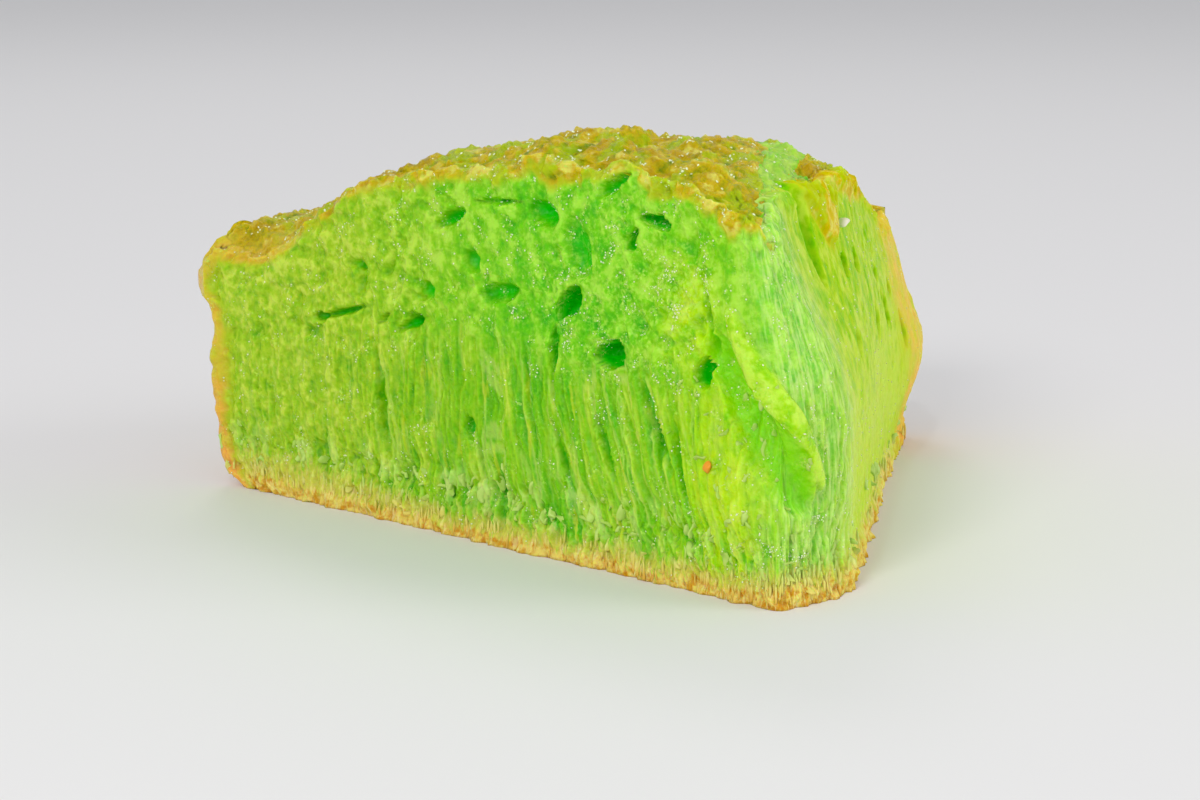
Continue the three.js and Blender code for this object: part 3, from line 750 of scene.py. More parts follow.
# %% One row of the crust
def skin_row(back, count, inset, thickness):
    """A row of the crust, set in from the cuts, and sunk by its thickness and where the crumb's lip covers it."""
    width = np.linalg.norm(np.diff(plain_skin(np.array([0.0, 1.0]), back), axis=0))
    inset = min(0.3, inset / width)
    share = np.linspace(inset, 1 - inset, count)
    from_border = np.minimum(width * np.minimum(share, 1 - share), back * LEFT_END)
    border_down = BORDER_DOWN + RIGHT_BORDER_LOWER * (share > 0.5)
    sink = thickness + border_down * (1 - ease(from_border, BORDER_IN, BORDER_REACH))
    on_wall = ease(back, 0.95, 1.04)
    row = plain_skin(share, back)
    row[:, 2] = np.maximum(FOOT_GAP, row[:, 2] - sink * (1 - on_wall))
    row[:, :2] *= 1 - sink[:, None] * on_wall / CAKE_RADIUS
    return row, from_border


# %% Outer and inner skin
backs = np.concatenate([np.arange(FIRST_ROW, TOP_ROWS + 1) / TOP_ROWS, 1 + np.arange(1, WALL_ROWS + 1) / WALL_ROWS])
inner_backs = np.append(backs[2:-4:INNER_EVERY], 2.0)
outer_rows = [skin_row(back, ACROSS + 1, BORDER_IN, 0) for back in backs]
outer = np.stack([row for row, _ in outer_rows])
inner = np.stack([skin_row(back, ACROSS // INNER_EVERY, 2 * BORDER_IN, SKIN_THICKNESS)[0] for back in inner_backs])
crust_points = np.concatenate([outer.reshape(-1, 3), inner.reshape(-1, 3)])
crust_points[:, :2] -= AXIS_FROM_CENTRE
outer_index = np.arange(outer.size // 3).reshape(outer.shape[:2])
inner_index = outer_index.size + np.arange(inner.size // 3).reshape(inner.shape[:2])

crust_faces = []
for sheet in (outer_index, inner_index):
    quads = np.stack([sheet[:-1, :-1], sheet[1:, :-1], sheet[1:, 1:], sheet[:-1, 1:]], -1)
    crust_faces += quads.reshape(-1, 4).tolist()
borders = [(sheet[:, 0], sheet[-1], sheet[::-1, -1], sheet[0, ::-1]) for sheet in (outer_index, inner_index)]
for outer_side, inner_side in zip(*borders):
    join_lines(crust_faces, outer_side.tolist(), inner_side.tolist())


# %% Numbers of the crust
def torn_away(place):
    """Where the crust came off, a strip that runs back from the middle of the tip's top edge."""
    from_start = place - TORN_START
    along = from_start @ TORN_ALONG
    across = from_start @ np.array([TORN_ALONG[1], -TORN_ALONG[0]])
    ragged = rough(along, across, (1.7, 2.6, 2.6, 6.5), (0.7, 0.9, 0.9, 7.5))
    return (across + ragged > 0) & (across + ragged < TORN_WIDTH) & (along + 4 * ragged < TORN_LENGTH)


from_border = np.stack([distance for _, distance in outer_rows])
shown = ease(from_border, BORDER_IN, BORDER_REACH) * ease(outer[..., 2], FOOT_GAP, 1)
is_torn = torn_away(outer[..., :2]) & (outer[..., 2] > TORN_ABOVE)
crust_numbers = {
    "skin": shown * (1 - 0.2 * is_torn),
    "torn": is_torn,
    "grazed": 0.8 * is_torn,
    "flap": 0.1 * is_torn,
    "glint": np.where(outer[..., 2] > 36, 1.0, 0.3) * (1 - 0.6 * is_torn),
}
crust_numbers = {name: np.append(values, np.zeros(inner_index.size)) for name, values in crust_numbers.items()}
crust_body = new_body("baked_crust", crust_points, crust_faces, crust_numbers, {})
turned = bmesh.new()
turned.from_mesh(crust_body.data)
bmesh.ops.recalc_face_normals(turned, faces=turned.faces)
print("open edges of the crust:", sum(not edge.is_manifold for edge in turned.edges))
turned.to_mesh(crust_body.data)
turned.free()


# %% [markdown]
# ## One helper for node trees
# Materials and Geometry Nodes are both trees of nodes. This helper adds one node, sets what it is told, and links any
# input whose value is another node or one of its outputs. Inputs are a list in the order of the node's sockets, or a
# dictionary by their names or numbers. A value that begins with # is a colour.

# %% The helper
NODE_FAMILIES = ("ShaderNode", "GeometryNode", "FunctionNode", "Node")
SMOOTH = {"interpolation_type": "SMOOTHSTEP"}


def srgb(code):
    """A colour written as sRGB hex, as the linear numbers that a shader takes."""
    values = [int(code[i : i + 2], 16) / 255 for i in (1, 3, 5)]
    return tuple(v / 12.92 if v <= 0.04045 else ((v + 0.055) / 1.055) ** 2.4 for v in values) + (1.0,)


def add(tree, kind, inputs=(), **settings):
    made = tree.nodes.new(next(family + kind for family in NODE_FAMILIES if hasattr(bpy.types, family + kind)))
    for name, value in settings.items():
        setattr(made, name, value)
    for socket, value in inputs.items() if isinstance(inputs, dict) else enumerate(inputs):
        if isinstance(value, bpy.types.Node):
            value = next(output for output in value.outputs if output.enabled)
        if isinstance(value, bpy.types.NodeSocket):
            tree.links.new(value, made.inputs[socket])
        else:
            made.inputs[socket].default_value = srgb(value) if str(value).startswith("#") else value
    return made


def new_tree(name, sizes, materials=("Material",)):
    """A Geometry Nodes tree with its sizes and then its materials as named inputs."""
    tree = bpy.data.node_groups.new(name, "GeometryNodeTree")
    tree.interface.new_socket("Geometry", in_out="INPUT", socket_type="NodeSocketGeometry")
    tree.interface.new_socket("Geometry", in_out="OUTPUT", socket_type="NodeSocketGeometry")
    for key, value in sizes.items():
        kind = {str: "String", int: "Int", float: "Float"}[type(value)]
        tree.interface.new_socket(key, in_out="INPUT", socket_type="NodeSocket" + kind).default_value = value
    for key in materials:
        tree.interface.new_socket(key, in_out="INPUT", socket_type="NodeSocketMaterial")
    return tree, add(tree, "GroupInput").outputs


def keep_result(body, tree, settings):
    """Runs a Geometry Nodes tree on a body, and returns the result as a plain mesh."""
    modifier = body.modifiers.new(tree.name, "NODES")
    modifier.node_group = tree
    sockets = {item.name: item.identifier for item in tree.interface.items_tree if item.in_out == "INPUT"}
    for name, value in settings.items():
        modifier[sockets[name]] = value
    graph = bpy.context.evaluated_depsgraph_get()
    result = bpy.data.meshes.new_from_object(body.evaluated_get(graph), preserve_all_data_layers=True, depsgraph=graph)
    body.modifiers.remove(modifier)
    return result


# %% [markdown]
# ## Relief of the crumb
# As the batter sets from the base up, steam drives long tunnels through it, so a cut shows upright strands, some of
# them closed and rounded, some open channels, and above them a closer crumb with uneven pits. A Voronoi pattern is
# what bubbles packed side by side make, so it gives both: stretched along the grain for the strands, and even for the
# pits. Just above the foot the same pattern stands for broken shards. A Geometry Nodes tree reads the numbers kept on
# the mesh and moves each point in, and every size stays a named input. It also keeps how deep each point went, and the
# crumb's colour is painted darker and purer green there: partly a wetter green, partly painted shade in the hollows.

# %% Sizes of the relief
RELIEF_SIZES = {
    "Tunnel width": 2.1,
    "Tunnel length": 17.0,
    "Tunnel depth": 1.6,
    "Strand groove": 0.42,
    "Thread width": 0.9,
    "Thread length": 9.0,
    "Thread groove": 0.24,
    "Crumb size": 2.6,
    "Crumb depth": 0.6,
    "Lump size": 1.2,
    "Lump depth": 0.28,
    "Pit size": 5.0,
    "Pit depth": 1.0,
    "Small pit size": 2.3,
    "Small pit depth": 0.4,
    "Fray width": 0.7,
    "Fray length": 3.4,
    "Fray depth": 1.0,
    "Shard width": 1.3,
    "Shard length": 3.0,
    "Shard depth": 1.5,
    "Grit size": 0.8,
    "Grit depth": 0.12,
    "Seed": 4.0,
}
relief, size = new_tree("Crumb relief", RELIEF_SIZES)
grain_place = add(relief, "InputNamedAttribute", {"Name": "grain"}, data_type="FLOAT_VECTOR")


# %% Places that wander off the grain
def wandering(place, scale, detail, reach):
    """The place, shifted by a noise to either side by up to half of that reach."""
    drawn = add(relief, "TexNoise", {"Vector": grain_place, "Scale": scale, "Detail": detail}).outputs["Color"]
    shift = add(relief, "VectorMath", [drawn, reach, [-r / 2 for r in reach]], operation="MULTIPLY_ADD")
    return add(relief, "VectorMath", [place, shift], operation="ADD")


grain_warped = wandering(grain_place, 0.17, 2.0, (2.4, 7.0, 0.0))
crumb_warped = wandering(grain_warped, 0.75, 3.0, (1.3, 1.3, 0.0))


# %% Cells packed side by side
def packed_cells(place, width, length, layer):
    """Cells of that width across the grain and length along it: distance to the wall, to the middle, and chances."""
    shift = add(relief, "Math", [size["Seed"], layer], operation="ADD")
    scaled = add(relief, "VectorMath", [place, add(relief, "CombineXYZ", [width, length, 1.0])], operation="DIVIDE")
    at = add(relief, "VectorMath", [scaled, add(relief, "CombineXYZ", {2: shift})], operation="ADD")
    cells = {"Vector": at, "Scale": 1.0}
    to_wall, to_middle = (add(relief, "TexVoronoi", cells, feature=kind) for kind in ("DISTANCE_TO_EDGE", "F1"))
    return to_wall, to_middle, add(relief, "SeparateXYZ", [to_middle.outputs["Color"]]).outputs


def strands(name, groove, channel, layer):
    """Strands with a narrow groove between them. Some are open channels with a thin lip."""
    to_wall, _, chance = packed_cells(grain_warped, size[name + " width"], size[name + " length"], layer)
    between = add(relief, "MapRange", [to_wall, 0.0, 0.2, groove, 0.0], **SMOOTH)
    inside = add(relief, "MapRange", [to_wall, 0.03, 0.34], **SMOOTH)
    opened = add(relief, "MapRange", [chance[0], 0.58, 1.0, 0.0, channel])
    sunk = add(relief, "Math", [inside, opened, between], operation="MULTIPLY_ADD")
    lip = add(relief, "Math", [to_wall, 0.06, 0.045], operation="COMPARE")
    lip_share = add(relief, "MapRange", [chance[0], 0.5, 0.8])
    return sunk, chance[1], add(relief, "Math", [lip, lip_share], operation="MULTIPLY")


def open_pits(name, layer, least):
    """Round pits in some of the cells, each with a reach and depth of its own."""
    width = size[name + " size"]
    _, to_middle, chance = packed_cells(crumb_warped, width, width, layer)
    opened = add(relief, "MapRange", [chance[0], least, least + 0.2], **SMOOTH)
    reach = add(relief, "MapRange", [chance[1], 0.0, 1.0, 0.26, 0.46])
    outward = add(relief, "Math", [to_middle, reach], operation="DIVIDE")
    bowl = add(relief, "MapRange", [outward, 1.1, 0.4], **SMOOTH)
    sunk = add(relief, "Math", [bowl, opened], operation="MULTIPLY")
    return add(relief, "Math", [sunk, size[name + " depth"]], operation="MULTIPLY")


def broken_shards(name, layer):
    """Shards side by side, each standing at a depth of its own, with a gap between them."""
    to_wall, _, chance = packed_cells(crumb_warped, size[name + " width"], size[name + " length"], layer)
    gap = add(relief, "MapRange", [to_wall, 0.0, 0.16, 0.4, 0.0], **SMOOTH)
    return add(relief, "Math", [chance[0], size[name + " depth"], gap], operation="MULTIPLY_ADD"), chance[0]


# %% Adding up the relief
tunnels, strand_tint, strand_lip = strands("Tunnel", size["Strand groove"], size["Tunnel depth"], 0.0)
threads, _, _ = strands("Thread", size["Thread groove"], 0.0, 7.0)
frays, _, _ = strands("Fray", 0.4, size["Fray depth"], 17.0)
shards, shard_chance = broken_shards("Shard", 23.0)
crumb_scale, lump_scale, grit_scale = (
    add(relief, "Math", [1.0, size[name + " size"]], operation="DIVIDE") for name in ("Crumb", "Lump", "Grit")
)
crumb = {"Vector": grain_warped, "Scale": crumb_scale, "Detail": 3.0, "Roughness": 0.52}
crumb = add(relief, "MapRange", [add(relief, "TexNoise", crumb), 0.68, 0.34, 0.0, size["Crumb depth"]], **SMOOTH)
lumps = {"Vector": crumb_warped, "Scale": lump_scale, "Smoothness": 0.25}
lumps = add(relief, "TexVoronoi", lumps, feature="SMOOTH_F1")
lumps = add(relief, "Math", [lumps, size["Lump depth"]], operation="MULTIPLY")
grit = add(relief, "TexNoise", {"Vector": grain_place, "Scale": grit_scale, "Detail": 2.0})
sunk = add(relief, "Math", [grit, size["Grit depth"]], operation="MULTIPLY")
layers = {
    "tunnels": [tunnels, threads],
    "sponge": [crumb, lumps, open_pits("Pit", 3.0, 0.55), open_pits("Small pit", 11.0, 0.5)],
    "fringe": [frays],
    "shards": [shards],
}
for name, parts in layers.items():
    share = add(relief, "InputNamedAttribute", {"Name": name})
    for part in parts:
        sunk = add(relief, "Math", [part, share, sunk], operation="MULTIPLY_ADD")
sunk = add(relief, "Math", [sunk, add(relief, "InputNamedAttribute", {"Name": "held"})], operation="MULTIPLY")
depth = add(relief, "Math", [sunk, add(relief, "InputNamedAttribute", {"Name": "form"})], operation="ADD")
geometry = size["Geometry"]
for name, value in {"depth": depth, "tint": strand_tint, "lip": strand_lip, "shard": shard_chance}.items():
    geometry = add(relief, "StoreNamedAttribute", {"Geometry": geometry, "Name": name, "Value": value})
in_metres = add(relief, "Math", [sunk, -MM], operation="MULTIPLY")
outwards_in = add(relief, "InputNamedAttribute", {"Name": "outwards"}, data_type="FLOAT_VECTOR")
shift_by = add(relief, "VectorMath", {0: outwards_in, "Scale": in_metres}, operation="SCALE")
placed = add(relief, "SetPosition", {"Geometry": geometry, "Offset": shift_by})
real = add(relief, "RealizeInstances", [placed])
dressed = add(relief, "SetMaterial", {"Geometry": real, "Material": size["Material"]})
add(relief, "GroupOutput", [dressed])
print("relief tree:", len(relief.nodes), "nodes")

# %% [markdown]
# ## Relief of the crust
# The top dried before the crumb under it had finished rising, so it blistered and cracked into small glossy lumps.
# Round cells of two sizes make the lumps, and a rougher noise breaks them up. The inner skin is left as it is.

# %% The blister tree
BLISTER_SIZES = {
    "Blister size": 3.2,
    "Blister depth": 1.2,
    "Lump size": 1.4,
    "Lump depth": 0.9,
    "Grit size": 0.6,
    "Grit depth": 0.25,
    "Torn depth": 0.4,
}
SWELL = 0.4
BARE_FROM = 0.45
blister, size = new_tree("Blistered crust", BLISTER_SIZES, ("Material", "Material under it"))
torn_in, skin_in = (add(blister, "InputNamedAttribute", {"Name": name}) for name in ("torn", "skin"))
in_mm = add(blister, "VectorMath", {0: add(blister, "InputPosition"), "Scale": 1 / MM}, operation="SCALE")
buckle = add(blister, "TexNoise", {"Vector": in_mm, "Scale": 0.35, "Detail": 2.0}).outputs["Color"]
buckled = add(blister, "VectorMath", [buckle, (3.0, 3.0, 3.0), in_mm], operation="MULTIPLY_ADD")
lumps = ("TexVoronoi", {"Vector": buckled, "Smoothness": 0.3}, {"feature": "SMOOTH_F1"})
grit = ("TexNoise", {"Vector": in_mm, "Detail": 2.0}, {})
sunk = -SWELL
for name, (kind, inputs, settings) in {"Blister": lumps, "Lump": lumps, "Grit": grit}.items():
    scale = add(blister, "Math", [1.0, size[name + " size"]], operation="DIVIDE")
    pattern = add(blister, kind, {**inputs, "Scale": scale}, **settings)
    sunk = add(blister, "Math", [pattern, size[name + " depth"], sunk], operation="MULTIPLY_ADD")
sunk = add(blister, "Math", [torn_in, size["Torn depth"], sunk], operation="MULTIPLY_ADD")
sunk = add(blister, "Math", [sunk, skin_in], operation="MULTIPLY")
in_metres = add(blister, "Math", [sunk, -MM], operation="MULTIPLY")
shift_by = add(blister, "VectorMath", {0: add(blister, "InputNormal"), "Scale": in_metres}, operation="SCALE")
seen_share = add(blister, "MapRange", [torn_in, 0.0, 1.0, 1.0, 0.25])
seen_depth = add(blister, "Math", [sunk, seen_share], operation="MULTIPLY")
with_depth = {"Geometry": size["Geometry"], "Name": "depth", "Value": seen_depth}
with_depth = add(blister, "StoreNamedAttribute", with_depth)
placed = add(blister, "SetPosition", {"Geometry": with_depth, "Offset": shift_by})
real = add(blister, "RealizeInstances", [placed])
browned = add(blister, "SetMaterial", {"Geometry": real, "Material": size["Material"]})
bare = add(blister, "Compare", [torn_in, BARE_FROM], operation="GREATER_THAN")
dressed = {"Geometry": browned, "Selection": bare, "Material": size["Material under it"]}
add(blister, "GroupOutput", [add(blister, "SetMaterial", dressed)])

# %% [markdown]
# ## Loose bits that cling to the surface
# A torn crumb sheds flakes and fibres, and its moist surface is beaded with tiny drops, painted pale as glints. All of
# them are the same thing to build: an egg of a few faces, strewn where a number kept on the mesh says, stretched,
# turned, sunk a little into the surface and made uneven. So one tree makes every kind, with its sizes as inputs.

# %% The strewing tree
STREW_SIZES = {
    "Where": "flaky",
    "Per square centimetre": 20.0,
    "Length": 1.4,
    "Width": 0.8,
    "Thickness": 0.4,
    "Least size": 0.5,
    "Patchiness": 0.0,
    "Upright": 0.0,
    "Lift": 0.0,
    "Unevenness": 0.3,
    "Around": 8,
    "Seed": 1,
}
PER_SQUARE_METRE = 10000.0
FLOOR_GAP = 0.1 * MM
strew, size = new_tree("Bits on a surface", STREW_SIZES)
place = add(strew, "InputPosition")
in_mm = add(strew, "VectorMath", {0: place, "Scale": 1 / MM}, operation="SCALE")
patches = add(strew, "TexNoise", {"Vector": in_mm, "Scale": 0.42, "Detail": 4.0, "Roughness": 0.6})
in_patches = add(strew, "MapRange", [patches, 0.53, 0.64], **SMOOTH)
patchy = add(strew, "Mix", {0: size["Patchiness"], 2: 1.0, 3: in_patches})
where = add(strew, "InputNamedAttribute", {"Name": size["Where"]})
crowded = add(strew, "Math", [where, patchy], operation="MULTIPLY")
per_metre = add(strew, "Math", [size["Per square centimetre"], PER_SQUARE_METRE], operation="MULTIPLY")
density = add(strew, "Math", [crowded, per_metre], operation="MULTIPLY")
spots = {"Mesh": size["Geometry"], "Density": density, "Seed": size["Seed"]}
spots = add(strew, "DistributePointsOnFaces", spots)
lifted_by = add(strew, "Math", [size["Lift"], MM], operation="MULTIPLY")
lift = add(strew, "VectorMath", {0: spots.outputs["Normal"], "Scale": lifted_by}, operation="SCALE")
lifted = add(strew, "SetPosition", {"Geometry": spots, "Offset": lift})

any_way = {0: (-1.0, -1.0, -1.0), 1: (1.0, 1.0, 1.0), "Seed": size["Seed"]}
any_way = add(strew, "RandomValue", any_way, data_type="FLOAT_VECTOR")
way = add(strew, "Mix", {0: size["Upright"], 4: any_way, 5: (0.0, 0.0, 1.0)}, data_type="VECTOR")
turn = add(strew, "AlignRotationToVector", {"Vector": way}, axis="Z")
rings = add(strew, "Math", [size["Around"], 2.0], operation="DIVIDE")
egg_form = add(strew, "MeshUVSphere", {"Segments": size["Around"], "Rings": rings, "Radius": MM / 2})
one_size = add(strew, "RandomValue", {2: size["Least size"], 3: 1.0, "Seed": size["Seed"]})
full_size = add(strew, "CombineXYZ", [size["Width"], size["Thickness"], size["Length"]])
own_size = add(strew, "VectorMath", {0: full_size, "Scale": one_size}, operation="SCALE")
strewn = {"Points": lifted, "Instance": egg_form, "Rotation": turn, "Scale": own_size}
real = add(strew, "RealizeInstances", [add(strew, "InstanceOnPoints", strewn)])

bumps = add(strew, "TexNoise", {"Vector": place, "Scale": 1100.0, "Detail": 1.0}).outputs["Color"]
bump_way = add(strew, "VectorMath", [bumps, (0.5, 0.5, 0.5)], operation="SUBTRACT")
bump_size = add(strew, "Math", [size["Unevenness"], MM * 2], operation="MULTIPLY")
bump_by = add(strew, "VectorMath", {0: bump_way, "Scale": bump_size}, operation="SCALE")
uneven = add(strew, "SetPosition", {"Geometry": real, "Offset": bump_by})
apart = add(strew, "SeparateXYZ", [place]).outputs
above_floor = add(strew, "Math", [apart[2], FLOOR_GAP], operation="MAXIMUM")
on_floor = add(strew, "CombineXYZ", [apart[0], apart[1], above_floor])
standing = add(strew, "SetPosition", {"Geometry": uneven, "Position": on_floor})
smooth = add(strew, "SetShadeSmooth", [standing])
add(strew, "GroupOutput", [add(strew, "SetMaterial", {"Geometry": smooth, "Material": size["Material"]})])

# %% [markdown]
# ## Materials
# The crumb is a moist starch gel full of air: light enters it, spreads and comes out again green, so most of its look
# is light under the surface, with a thin wet shine on top. The crust is the same batter, dried and browned by the tin.


# %% Coats of colour, and how far they show
def coated(tree, colour, *coats):
    """A colour under coats of others. Each coat is how much of it shows, and its colour."""
    for share, tone in coats:
        colour = add(tree, "Mix", {0: share, 6: colour, 7: tone}, data_type="RGBA")
    return colour


def shows(tree, pattern, span, where, **settings):
    """How much of a pattern shows: it follows the span, and no more than a number kept on the mesh allows."""
    return add(tree, "Math", [add(tree, "MapRange", [pattern, *span], **settings), where], operation="MULTIPLY")


# %% Materials, their places and their ends
def new_material(name):
    material = bpy.data.materials.new(name)
    material.use_nodes = True
    material.node_tree.nodes.clear()
    return material, material.node_tree


def in_millimetres(tree):
    """The place on the cake that a shader looks at."""
    place = add(tree, "TexCoord").outputs["Object"]
    return add(tree, "VectorMath", {0: place, "Scale": 1 / MM}, operation="SCALE")


def surface(tree, inputs):
    """Ends a material's tree with its shader."""
    shader = add(tree, "BsdfPrincipled", inputs, subsurface_method="RANDOM_WALK")
    add(tree, "OutputMaterial", {"Surface": shader})


def plain_material(name, colour, **inputs):
    material, tree = new_material(name)
    surface(tree, {"Base Color": colour, **inputs})
    return material


def faceted(tree, place_mm, across, share):
    """A normal broken into small facets, each tilted its own way, and the chances of each facet."""
    chances = add(tree, "TexVoronoi", {"Vector": place_mm, "Scale": 1 / across}).outputs["Color"]
    way = add(tree, "VectorMath", [chances, (0.5, 0.5, 0.5)], operation="SUBTRACT")
    way = add(tree, "VectorMath", {0: way, "Scale": share}, operation="SCALE")
    tilted = add(tree, "VectorMath", [way, add(tree, "NewGeometry").outputs["Normal"]], operation="ADD")
    return add(tree, "VectorMath", [tilted], operation="NORMALIZE"), chances


# %% Tones from low to high
# The crumb isn't one green. Its hollows are saturated and its torn, raised places are pale and a little milky, which is
# partly painted shade and light, and each part of the slice has its own range, from its wettest tone to its driest.
TONES = {
    "upper": ("#3AB600", "#56C000", "#6AC800", "#80D010", "#A4E240"),
    "strands": ("#4AB200", "#72C000", "#82C602", "#9CCE1C", "#C2DE48"),
    "far": ("#5CA800", "#84BA00", "#96C40A", "#AACC22", "#C6DC4A"),
    "tip": ("#74CA00", "#9AD400", "#B2DE00", "#C0E408", "#D2EE44"),
    "flap": ("#6AC200", "#84CC00", "#96D400", "#AADC10", "#C2E848"),
    "grazed": ("#62B000", "#7ABC00", "#8CC200", "#9EC80C", "#B6D634"),
    "top": ("#7A9400", "#A8A400", "#C4B400", "#CEB00C", "#DCD65C"),
}
LEVELS = (0.28, 0.43, 0.57, 0.72)
LEVEL_HALF_WIDTH = 0.12


def toned(tree, height, tones):
    """Colour for each height between 0 and 1, from the lowest tone to the highest."""
    spans = [(level - LEVEL_HALF_WIDTH, level + LEVEL_HALF_WIDTH) for level in LEVELS]
    return coated(tree, tones[0], *zip([add(tree, "MapRange", [height, *span], **SMOOTH) for span in spans], tones[1:]))


def oven_browned(tree, place_mm, depth):
    """Olive gold mottled with brown and yellow-green, and orange gold and then tan lower down the outer wall."""
    small = add(tree, "TexNoise", {"Vector": place_mm, "Scale": 1 / 2.2, "Detail": 5.0, "Roughness": 0.6})
    large = add(tree, "TexNoise", {"Vector": place_mm, "Scale": 1 / 4.5, "Detail": 3.0})
    drawn = add(tree, "MapRange", [small, 0.3, 0.7, 0.0, 0.7])
    # Raised blisters are painted lighter, towards the palest tone: a painted highlight.
    raised_painted_lighter = add(tree, "MapRange", [depth, 1.5, 0.3, 0.0, 0.3])
    olive = toned(tree, add(tree, "Math", [drawn, raised_painted_lighter], operation="ADD"), TONES["top"])
    up_mm = add(tree, "SeparateXYZ", [place_mm]).outputs[2]
    uneven_mm = add(tree, "Math", [large, 18.0, up_mm], operation="MULTIPLY_ADD")
    coats = [
        (large, (0.54, 0.68, 0.0, 0.6), "#B89204"),
        (large, (0.51, 0.41, 0.0, 0.75), "#A6C404"),
        (uneven_mm, (47.0, 39.0, 0.0, 0.9), coated(tree, "#EACC48", (small, "#DCA834"))),
        (up_mm, (17.0, 9.0, 0.0, 0.7), "#F0AA50"),
    ]
    return coated(tree, olive, *((add(tree, "MapRange", [by, *span], **SMOOTH), tone) for by, span, tone in coats))


# %% Pandan crumb
# Starch gel set by steam. The eye sees a green lit from inside, with a wet shine broken into small facets where a wall
# of the crumb was torn, and straw gold towards the heat.
crumb_material, tree = new_material("Moist pandan gel crumb")
place_mm = in_millimetres(tree)
kept_names = "depth tint lip tunnels lime far grazed crust toasted browned vivid flap glint torn shard shards pit milky"
kept = {name: add(tree, "Attribute", attribute_name=name).outputs["Fac"] for name in kept_names.split()}
kept["depth"] = add(tree, "Math", [kept["shards"], -0.9, kept["depth"]], operation="MULTIPLY_ADD")
grain_in = add(tree, "Attribute", attribute_name="grain").outputs["Vector"]
along_grain, along_fibres = (
    add(tree, "VectorMath", [grain_in, (1.0, up, 1.0)], operation="MULTIPLY") for up in (0.14, 0.22)
)
DRAWN = {
    "clumps": (place_mm, 0.4, 4.0, 0.55),
    "streaks": (along_grain, 0.5, 3.0, 0.5),
    "fine streaks": (along_grain, 1.7, 2.0, 0.5),
    "mottle": (place_mm, 1.0, 2.0, 0.5),
    "flecks": (along_grain, 0.8, 3.0, 0.5),
    "haze": (place_mm, 1.6, 3.0, 0.6),
    "spots": (place_mm, 0.9, 4.0, 0.6),
    "fibres": (along_fibres, 1.9, 3.0, 0.55),
    "patches": (place_mm, 0.42, 4.0, 0.6),
    "pores": (place_mm, 1 / 0.3, 3.0, 0.7),
}
inputs = ("Vector", "Scale", "Detail", "Roughness")
drawn = {name: add(tree, "TexNoise", dict(zip(inputs, values))) for name, values in DRAWN.items()}

# Height of the tone: clumps in the upper crumb, streaks along the strands, and the relief under both.
streaked = add(tree, "Mix", {0: 0.35, 2: drawn["streaks"], 3: drawn["fine streaks"]})
height = add(tree, "Mix", {0: kept["tunnels"], 2: drawn["clumps"], 3: streaked})
mottled = add(tree, "MapRange", [kept["far"], 0.0, 1.0, 0.12, 0.5])
height = add(tree, "Mix", {0: mottled, 2: height, 3: drawn["mottle"]})
height = add(tree, "MapRange", [height, 0.34, 0.66, 0.0, 0.62])
# Raised relief is painted paler and deep relief darker: painted light and painted shade.
raised_painted_lighter = add(tree, "MapRange", [kept["depth"], 2.2, 0.2, 0.0, 0.36])
own_tint = add(tree, "MapRange", [kept["tint"], 0.0, 1.0, -0.16, 0.16])
up_mm = add(tree, "SeparateXYZ", [place_mm]).outputs[2]
paler_low = add(tree, "MapRange", [up_mm, 30.0, 8.0, -0.05, 0.42])
changes = [(1.0, raised_painted_lighter), (kept["tunnels"], own_tint), (kept["tunnels"], -0.16), (kept["grazed"], paler_low)]
for share, change in changes:
    height = add(tree, "Math", [share, change, height], operation="MULTIPLY_ADD")
frosted = add(tree, "Math", [kept["flap"], 0.08, height], operation="MULTIPLY_ADD")
sides = {"strands": "tunnels", "far": "far", "grazed": "grazed", "tip": "lime", "flap": "flap"}
sides = ((kept[share], toned(tree, frosted, TONES[name])) for name, share in sides.items())
colour = coated(tree, toned(tree, height, TONES["upper"]), *sides)

# The torn lips of open channels are thin and dry, so pale. Hollows and pits are painted a darker, purer green: partly
# wetter gel, partly painted shade.
colour = coated(
    tree,
    colour,
    (shows(tree, kept["lip"], (0.0, 1.0, 0.0, 0.4), kept["tunnels"]), "#CCE070"),
    (shows(tree, drawn["flecks"], (0.6, 0.7, 0.0, 0.55), kept["tunnels"], **SMOOTH), "#CCD428"),
    (shows(tree, kept["shard"], (0.45, 0.05, 0.0, 0.75), kept["shards"], **SMOOTH), "#D0EA88"),
    (shows(tree, drawn["haze"], (0.46, 0.66, 0.0, 0.45), kept["glint"], **SMOOTH), "#B4E450"),
    (shows(tree, drawn["fine streaks"], (0.42, 0.64, 0.14, 0.72), kept["milky"], **SMOOTH), "#C8E884"),
    (add(tree, "MapRange", [kept["depth"], 1.4, 2.8, 0.0, 0.65], **SMOOTH), "#48BE00"),
    (add(tree, "Math", [kept["vivid"], 0.75], operation="MULTIPLY"), "#80DA00"),
    (add(tree, "MapRange", [kept["pit"], 0.5, 2.2], **SMOOTH), "#08C800"),
    (add(tree, "Math", [kept["torn"], 0.3], operation="MULTIPLY"), "#A2CC74"),
)

